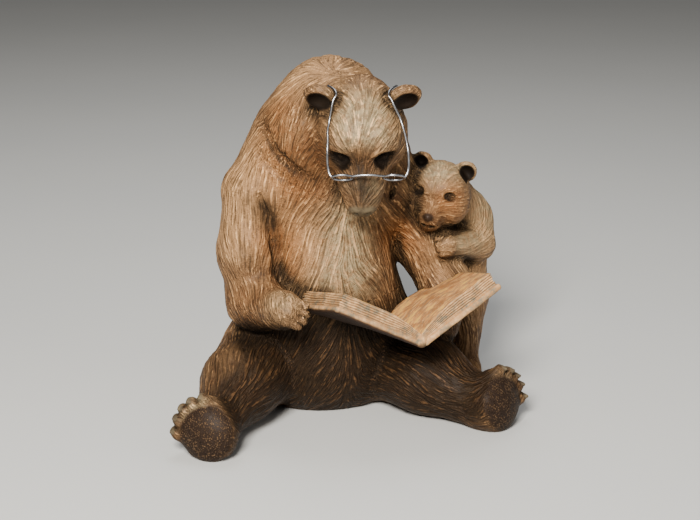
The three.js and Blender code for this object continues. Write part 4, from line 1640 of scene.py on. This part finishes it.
@dataclass
class OpenBook:
    """The open book on her lap, cast with the figures.

    In the book's own frame the spine runs along +y from the front end and the pages face up.
    Each half is lifted by an angle that eases off towards the back.

    Attributes:
        stand: the book's frame, at the front end of the spine.
        half_width: a cover's width from the spine.
        spine_length: how long the spine is.
        lift_front: how far her right half and her left half are lifted at the front, in degrees.
        lift_back: the same at the back.
        cover: a cover's thickness.
        margin: how far the covers reach past the pages.
        gutter: the pages' thickness at the spine.
        pages: their fullest thickness.
        leaves: how many leaves the edges show.
    """

    stand: Stand = Stand((16.7, -45.3, 29.8), pitch=-9, yaw=7)
    half_width: float = 27.0
    spine_length: float = 30.0
    lift_front: tuple[float, float] = (28.0, 29.5)
    lift_back: tuple[float, float] = (20.0, 20.0)
    cover: float = 1.8
    margin: float = 0.9
    gutter: float = 0.8
    pages: float = 3.8
    leaves: int = 6

    @staticmethod
    def box_skin(counts: tuple[int, int, int]) -> tuple[Array, Array]:
        """The skin of a box from -1 to 1 as an even grid of quads, facing out, with the corners shared.

        Args:
            counts: the steps along each axis.

        Returns:
            The corners, three rows, and the quads.
        """
        corners, quads, used = [], [], 0
        for axis in range(3):
            one, two = (axis + 1) % 3, (axis + 2) % 3
            a, b = np.meshgrid(np.arange(counts[one] + 1), np.arange(counts[two] + 1), indexing="ij")
            width = counts[two] + 1
            i = (np.arange(counts[one])[:, None] * width + np.arange(counts[two])[None, :]).ravel()
            ring = np.stack([i, i + width, i + width + 1, i + 1], axis=1)
            for end in (0, counts[axis]):
                spot = np.zeros((3, a.size), dtype=np.int64)
                spot[axis], spot[one], spot[two] = end, a.ravel(), b.ravel()
                corners.append(spot)
                quads.append((ring if end else ring[:, ::-1]) + used)
                used += a.size
        spots, back = np.unique(np.concatenate(corners, axis=1), axis=1, return_inverse=True)
        sizes = column(counts)
        return spots / sizes * 2.0 - 1.0, back.ravel()[np.concatenate(quads)]

    def bent(self, side: int, out: Array, up: Array, along_spine: Array) -> Array:
        """Turns places of a half about the spine, by the lift at that place along it.

        Args:
            side: -1 for her right half and 1 for her left.
            out: how far each place is from the spine.
            up: how far it is above the cover.
            along_spine: how far it is from the spine's front end.

        Returns:
            The places in the shared units.
        """
        half = 0 if side < 0 else 1
        share = along_spine / self.spine_length
        lift = np.radians(self.lift_front[half] + (self.lift_back[half] - self.lift_front[half]) * share)
        x = side * (out * np.cos(lift) - up * np.sin(lift))
        return self.stand.out(np.stack([x, along_spine, out * np.sin(lift) + up * np.cos(lift)]))

    def fullness(self, share: Array) -> Array:
        """The pages' thickness at a share of the width: a quarter sine from the gutter's to the fullest."""
        rise = np.sin(np.minimum(1.0, 1.7 * share + 0.1) * math.pi / 2)
        return self.gutter + (self.pages - self.gutter) * rise

    def cover_half(self, side: int) -> tuple[Array, Array, dict[str, Array]]:
        """One cover: a slab with round edges and round outer corners.

        Each corner of the box's skin is pulled in by the largest of |x| and |y| over the
        sixteenth root of the sum of their sixteenth powers, and the edges are rounded by
        pushing out from a smaller box.

        Args:
            side: -1 for her right half and 1 for her left.

        Returns:
            The corners, the quads and the values at the corners.
        """
        box, quads = self.box_skin((56, 60, 6))
        x, y, z = box
        pull = np.maximum(np.maximum(np.abs(x), np.abs(y)), 1e-6) / (x**16 + y**16 + 1e-9) ** (1 / 16)
        half = column((self.half_width / 2, self.spine_length / 2, self.cover / 2))
        q = np.stack([x * np.minimum(pull, 1.0), y * np.minimum(pull, 1.0), z]) * half
        round_edge = 0.75
        core = np.clip(q, -(half - round_edge), half - round_edge)
        q = core + unit(q - core) * round_edge * (length(q - core) > 1e-6)
        worn = 0.07 * grain(q + 40.0 * side, 1.7, 21) + 0.1 * grain(q + 40.0 * side, 5.0, 22)
        q = q + worn * unit(q - np.clip(q, -(half - 0.9), half - 0.9))
        p = self.bent(side, q[0] + half[0], q[2] - self.cover / 2, q[1] + half[1])
        rim = eased(0.93, 0.99, np.maximum(np.abs(x) * (x > 0), np.abs(y)))
        # The underside and, through beneath, the lower faces take painted shade.
        under = eased(-0.2, -0.8, z) * (1.0 - rim)
        none = np.zeros_like(x)
        leaf = np.stack([none, np.clip(rim, 0, 1), under])
        return p, quads, {"leaf": leaf, "line": none, "sheet": q, "beneath": eased(0.1, -0.7, z)}

    def page_half(self, side: int) -> tuple[Array, Array, dict[str, Array]]:
        """One half's pages: a block as thick as the pages' fullness, with grooves between the leaves.

        A groove's depth at a share t of the thickness is the sixth power of |cos(pi * leaves * t)|,
        with t wavering along the edge.

        Args:
            side: -1 for her right half and 1 for her left.

        Returns:
            The corners, the quads and the values at the corners.
        """
        box, quads = self.box_skin((64, 60, 34))
        x, y, z = box
        width = self.half_width - self.margin
        share, depth = (x + 1) / 2, (z + 1) / 2
        run = self.margin + (self.spine_length - 2 * self.margin) * (y + 1) / 2
        thick = self.fullness(share)
        up = -self.cover / 2 + (thick + self.cover / 2) * depth
        at = np.stack([share * width * 0.16 + 7 * side, run * 0.16, depth * 0.4])
        waver = 0.5 * grain(at, 1.0, 31) + 0.22 * grain(at * 3.1, 1.0, 32)
        visible = np.clip(up / np.maximum(thick, 0.1), 0.0, 1.0)
        between = np.abs(np.cos(math.pi * (self.leaves * visible + waver))) ** 6
        groove = between * eased(1.0, 0.93, visible) * eased(0.02, 0.12, visible)
        face_out = (x > 0.999).astype(float)
        face_ends = (np.abs(y) > 0.999).astype(float)
        on_edge = np.maximum(face_out, face_ends)
        pressed = groove * on_edge * 0.3 * eased(0.02, 0.16, share)
        leaf_number = np.stack([visible * self.leaves, 0 * x, 0 * x + 9.5 + side])
        step_in = 0.3 * np.sign(grain(leaf_number, 1.0, 33)) * on_edge
        out = share * width - face_out * (pressed + 0.5 * step_in)
        run = run - np.sign(y) * face_ends * pressed
        slow = 0.16 * grain(np.stack([out * 0.4, run * 0.13, 0 * x + side]), 1.0, 34)
        quick = 0.1 * grain(np.stack([out * 1.3, run * 0.35, 0 * x + side]), 1.0, 35)
        wave = (1.0 - on_edge) * eased(0.6, 1.0, depth) * (slow + quick)
        p = self.bent(side, out, up + wave, run)
        leaf = np.stack([eased(0.96, 1.0, depth), on_edge, np.zeros_like(x)])
        line = groove * on_edge * eased(0.0, 0.08, share)
        sheet = np.stack([out + 40.0 * side, run, up])
        # The lower part of the pages' faces takes painted shade on her right half.
        beneath = 0.25 * eased(0.5, 0.1, depth)
        return p, quads, {"leaf": leaf, "line": line, "sheet": sheet, "beneath": beneath}

    def spine(self) -> tuple[Array, Array, dict[str, Array]]:
        """The round back of the spine: a bar whose radius falls off as a half circle near each end.

        Returns:
            The corners, the quads and the values at the corners.
        """
        around, steps = 28, 60
        turn = np.linspace(0, 2 * math.pi, around, endpoint=False)
        run = np.linspace(0, self.spine_length, steps)
        from_end = np.minimum(run, self.spine_length - run)
        radius = self.cover * np.sqrt(1 - np.clip(1 - from_end / 0.9, 0, 1) ** 2 * 0.9)
        x = (radius[:, None] * np.cos(turn)[None, :]).ravel()
        z = (radius[:, None] * np.sin(turn)[None, :]).ravel()
        y = np.repeat(run, around)
        ends = np.array([[0, 0], [0, self.spine_length], [0, 0]])
        p = np.concatenate([np.stack([x, y, z]), ends], axis=1)
        none = np.zeros(p.shape[1])
        worn = eased(1.4, 0.4, np.minimum(p[1], self.spine_length - p[1]))
        # The spine's ends wear to paper; its lower half takes painted shade.
        leaf = np.stack([none, worn, eased(0.0, -1.0, p[2])])
        values = {"leaf": leaf, "line": none, "sheet": p, "beneath": none}
        return self.stand.out(p), sleeve(steps, around, False), values

    def form(self) -> Form:
        """The book's two halves as plain slabs, for the shade that it gives the figures.

        Returns:
            The form.
        """
        size = column((self.half_width / 2, self.spine_length / 2, self.cover))

        def slab(q: Array) -> Array:
            """A slab's distance: the length of how far a place lies beyond each pair of faces."""
            beyond = np.abs(q) - size
            return length(np.maximum(beyond, 0.0)) + np.minimum(beyond.max(0), 0.0)

        halves = []
        for half, side in enumerate((-1, 1)):
            lift = math.radians((self.lift_front[half] + self.lift_back[half]) / 2)
            out, rise = math.cos(lift) * self.half_width / 2, math.sin(lift) * self.half_width / 2
            leaning = Stand((side * out, self.spine_length / 2, rise), roll=math.degrees(-side * lift))
            halves.append(placed(self.stand, placed(leaning, slab)))
        return lambda p: np.minimum(halves[0](p), halves[1](p))

    def built(self, figure: Form) -> bpy.types.Object:
        """Builds the book as one piece of closed shells.

        Args:
            figure: the figures' form, which casts painted shade on what lies against it.

        Returns:
            The piece.
        """
        halves = [half(side) for half in (self.cover_half, self.page_half) for side in (-1, 1)]
        shells = [*halves, self.spine()]
        starts = np.cumsum([0] + [p.shape[1] for p, _, _ in shells])
        mirrored_ones = (0, 2)
        faces = [
            (quads[:, ::-1] if n in mirrored_ones else quads) + starts[n]
            for n, (_, quads, _) in enumerate(shells)
        ]
        p = np.concatenate([shell[0] for shell in shells], axis=1)
        carried = {key: np.concatenate([shell[2][key] for shell in shells], axis=-1) for key in shells[0][2]}
        # Painted shade near the figures, and on the lower faces of her right half.
        near = np.clip(1.0 - figure(p) / 4.0, 0.0, 1.0)
        her_right = eased(0.5, -2.0, self.stand.own(p)[0]) * carried.pop("beneath")
        values = {**carried, "sheet": carried["sheet"] * UNIT, "hollow": near * 0.45, "side": her_right}
        piece = mesh_piece("open_book", in_metres(p), np.concatenate(faces), values)
        piece.data.materials.append(BookPatina().material())
        return piece


@dataclass(frozen=True)
class Spectacles:
    """The bent-wire spectacles, in the frame of her head: two oval rims, a bridge and two temples.

    Attributes:
        stand: the head's frame.
        radius: half the wire's thickness.
        top: the rims' highest place.
        rim: half the rims' width and height.
        rim_out: how far a rim's middle is from the bridge's.
        across: where the rims lie on y.
        aside: how far the spectacles sit to her left.
        clear: how far the temples stay off the fur.
        loose_from: the first of a temple's points that is kept clear, so that it still meets the rim.
        points: how many points of a temple are kept clear.
        rim_places: the places that each temple passes on the way from its rim, her right one first.
        ear_places: the places that both pass at the ear, given for her left one.
    """

    stand: Stand
    radius: float = 0.3
    top: float = 5.926
    rim: tuple[float, float] = (2.8333, 1.8333)
    rim_out: float = 6.6667
    across: float = -18.4
    aside: float = 1.5
    clear: float = 0.5
    loose_from: int = 2
    points: int = 23
    rim_places: tuple[tuple[Place, ...], ...] = (
        ((-7.89, -18.4, 4.09), (-8.5, -17.7, 4.19), (-9, -15.8, 4.79), (-9.15, -12, 6.89), (-8.65, -4, 7.4)),
        ((10.89, -18.4, 4.09), (11.5, -17.7, 4.19), (12, -15.8, 4.79), (11.85, -12, 6.89), (10.15, -4, 7.4)),
    )
    ear_places: tuple[Place, ...] = ((7.78, 1.01, 9.5), (7.73, 4.62, 8.81), (9.2, 6.4, 7))

    def wire(self, path: Array, level: Place, closed: bool) -> tuple[Array, Array]:
        """A round wire along a path.

        A ring's corner at an angle t is the path's place, plus the radius times cos t of the
        way across the path and the level, plus the radius times sin t of the way across both.
        An open wire's radius falls off as a half circle at its two ends.

        Args:
            path: the path's points, three rows.
            level: a way that the path never follows.
            closed: whether the path meets itself.

        Returns:
            The corners and the quads.
        """
        around, steps = 16, path.shape[1]
        ahead = np.roll(path, -1, axis=1) - np.roll(path, 1, axis=1)
        if not closed:
            ahead[:, 0], ahead[:, -1] = path[:, 1] - path[:, 0], path[:, -1] - path[:, -2]
        ahead = unit(ahead)
        side = unit(np.cross(ahead.T, column(level).ravel()).T)
        other = np.cross(side.T, ahead.T).T
        run = np.concatenate([[0.0], np.cumsum(length(np.diff(path, axis=1)))])
        from_end = np.minimum(run, run[-1] - run) / self.radius
        falling = np.sqrt(1.0 - 0.96 * (1.0 - np.clip(from_end, 0.0, 1.0)) ** 2)
        round_end = np.ones(steps) if closed else falling
        turn = np.linspace(0.0, 2.0 * math.pi, around, endpoint=False)
        ring = side[:, :, None] * np.cos(turn) + other[:, :, None] * np.sin(turn)
        p = (path[:, :, None] + ring * (self.radius * round_end)[:, None]).reshape(3, -1)
        if not closed:
            p = np.concatenate([p, path[:, :1], path[:, -1:]], axis=1)
        return p, sleeve(steps, around, closed)

    def temple(self, side: int, figure: Form) -> Array:
        """A temple's path: a curve through its places, taken at even spaces and kept clear of the figure.

        Args:
            side: -1 for her right and 1 for her left.
            figure: the figures' form.

        Returns:
            The path's points, in the head's frame.
        """
        ear = tuple((side * x, y, z) for x, y, z in self.ear_places)
        rough = curve_through(np.array(self.rim_places[side > 0] + ear).T, 40)
        run = np.concatenate([[0.0], np.cumsum(length(np.diff(rough, axis=1)))])
        spaced = np.stack([np.interp(np.linspace(0.0, run[-1], self.points), run, row) for row in rough])
        p = self.stand.out(spaced)
        free = np.arange(self.points) >= self.loose_from
        for _ in range(6):
            short = np.clip(self.clear - figure(p), 0.0, None) * free
            p = p + short * unit(slope_of(figure, p))
        return curve_through(self.stand.own(p), 9)

    def built(self, figure: Form) -> bpy.types.Object:
        """Builds the spectacles as one piece of closed wires.

        Args:
            figure: the figures' form, which the temples keep clear of.

        Returns:
            The piece.
        """
        half_wide, half_high = self.rim
        turn = np.linspace(0.0, 2.0 * math.pi, 72, endpoint=False)
        span = np.linspace(-1.0, 1.0, 60)
        wires = []
        for side in (-1, 1):
            x = self.aside + side * (self.rim_out + half_wide * np.cos(turn))
            z = self.top - half_high + half_high * np.sin(turn)
            wires.append(self.wire(np.stack([x, np.full_like(x, self.across), z]), (0, 1, 0), True))
        x = self.aside + span * (self.rim_out - 0.85 * half_wide)
        z = self.top - 0.45 * half_high + 0.8 * (1.0 - span * span)
        wires.append(self.wire(np.stack([x, np.full_like(x, self.across), z]), (0, 1, 0), False))
        for side in (-1, 1):
            wires.append(self.wire(self.temple(side, figure), (1, 0, 0), False))
        starts = np.cumsum([0] + [p.shape[1] for p, _ in wires])
        p = np.concatenate([corners for corners, _ in wires], axis=1)
        quads = np.concatenate([faces + start for (_, faces), start in zip(wires, starts)])
        piece = mesh_piece("wire_spectacles", in_metres(self.stand.out(p)), quads, {})
        piece.data.materials.append(SteelWire().material())
        return piece


# The studio.


@dataclass(frozen=True)
class Lamp:
    """A square soft light that looks at a spot, in metres and watts."""

    name: str
    place: Place
    spot: Place
    size: float
    power: float
    colour: Colour = (1.0, 1.0, 1.0)

    def built(self) -> bpy.types.Object:
        """Adds the light to the scene.

        Returns:
            The light.
        """
        data = bpy.data.lights.new(self.name, "AREA")
        data.size, data.energy, data.color = self.size, self.power, self.colour
        lamp = bpy.data.objects.new(self.name, data)
        lamp.location = self.place
        look = column(self.spot) - column(self.place)
        lamp.rotation_euler = aimed(look.ravel())
        bpy.context.scene.collection.objects.link(lamp)
        return lamp


def aimed(look: Array) -> tuple[float, float, float]:
    """The turn, about x then z, that points -z along a way and keeps x level."""
    flat = math.hypot(look[0], look[1])
    return math.atan2(flat, -look[2]), 0.0, math.atan2(-look[0], look[1])


@dataclass(frozen=True)
class Studio:
    """A pale floor, soft lights and the camera at the photograph's angle.

    Attributes:
        azimuth: how far round to her left the camera stands, in degrees.
        elevation: how far it looks down, in degrees.
        distance: how far it is from its target, in metres.
        target: the place it looks at.
        lens: its focal length, in millimetres.
        floor_size: the floor's side, in metres.
        floor_colours: the floor's two colours.
        air: the room's own light and its strength.
        lamps: the lights.
    """

    azimuth: float = -15.0
    elevation: float = 17.0
    distance: float = 1.5
    target: Place = (0.03011, 0.06554, 0.11138)
    lens: float = 87.43
    floor_size: float = 6.0
    floor_colours: tuple[Colour, Colour] = ((0.50, 0.51, 0.50), (0.56, 0.56, 0.55))
    air: tuple[Colour, float] = ((0.98, 0.97, 0.96), 0.12)
    lamps: tuple[Lamp, ...] = (
        Lamp("key_light", (-0.62, -1.3, 1.15), (0, -0.02, 0.17), 0.5, 82.0, (1.0, 0.945, 0.87)),
        Lamp("fill_light", (1.3, -1.0, 0.9), (0, 0, 0.12), 1.2, 6.0, (1.0, 0.98, 0.96)),
        Lamp("top_light", (0.1, 0.5, 1.5), (0, 0, 0.15), 0.9, 11.0),
    )

    def built(self) -> None:
        """Builds the floor, the lights, the camera and the world."""
        half = self.floor_size / 2
        corners = np.array([[-half, -half, 0], [half, -half, 0], [half, half, 0], [-half, half, 0]])
        floor = mesh_piece("studio_floor", corners, np.array([[0, 1, 2, 3]]), {})
        floor.data.materials.append(self.floor_finish())
        for lamp in self.lamps:
            lamp.built()
        world = bpy.data.worlds.new("soft_room")
        world.use_nodes = True
        background = next(n for n in world.node_tree.nodes if n.type == "BACKGROUND")
        colour, strength = self.air
        background.inputs["Color"].default_value = (*colour, 1.0)
        background.inputs["Strength"].default_value = strength
        bpy.context.scene.world = world
        self.camera()

    def floor_finish(self) -> bpy.types.Material:
        """Mixes a pale matt finish with the least cloudiness.

        Returns:
            The material.
        """
        bench = Bench("pale_floor")
        cloud = bench.noise(bench.place(), 0.25, 2.0)
        colour = bench.mix(cloud * 0.5, *self.floor_colours)
        bench.finish(colour, 0.8, cloud, 0.0001)
        return bench.material

    def camera(self) -> None:
        """Stands the camera off the target at the photograph's azimuth and elevation."""
        a, e = math.radians(self.azimuth), math.radians(self.elevation)
        back = np.array([math.sin(a) * math.cos(e), -math.cos(a) * math.cos(e), math.sin(e)])
        data = bpy.data.cameras.new("photo_camera")
        data.lens, data.sensor_width, data.clip_start = self.lens, 36.0, 0.05
        camera = bpy.data.objects.new("photo_camera", data)
        camera.location = np.asarray(self.target) + back * self.distance
        camera.rotation_euler = aimed(-back)
        bpy.context.scene.collection.objects.link(camera)
        bpy.context.scene.camera = camera


def dress(piece: bpy.types.Object, node: str) -> None:
    """Hangs a piece on the root body, hides the solid that it stands for and logs its faces.

    Args:
        piece: the piece.
        node: the solid's name.
    """
    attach(piece, "root")
    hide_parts(node)
    log.info("%s: %d faces", piece.name, len(piece.data.polygons))


def main() -> None:
    """Builds the statuette, dresses it and sets up the studio."""
    logging.basicConfig(level=logging.INFO, format="%(message)s")
    figures, book = Figures(), OpenBook()
    for piece in (*figures.built(book.form()), book.built(figures.whole())):
        dress(piece, CASTING)
    dress(Spectacles(figures.head.stand).built(figures.whole()), SPECTACLES)
    Studio().built()


if __name__ == "__main__":
    main()
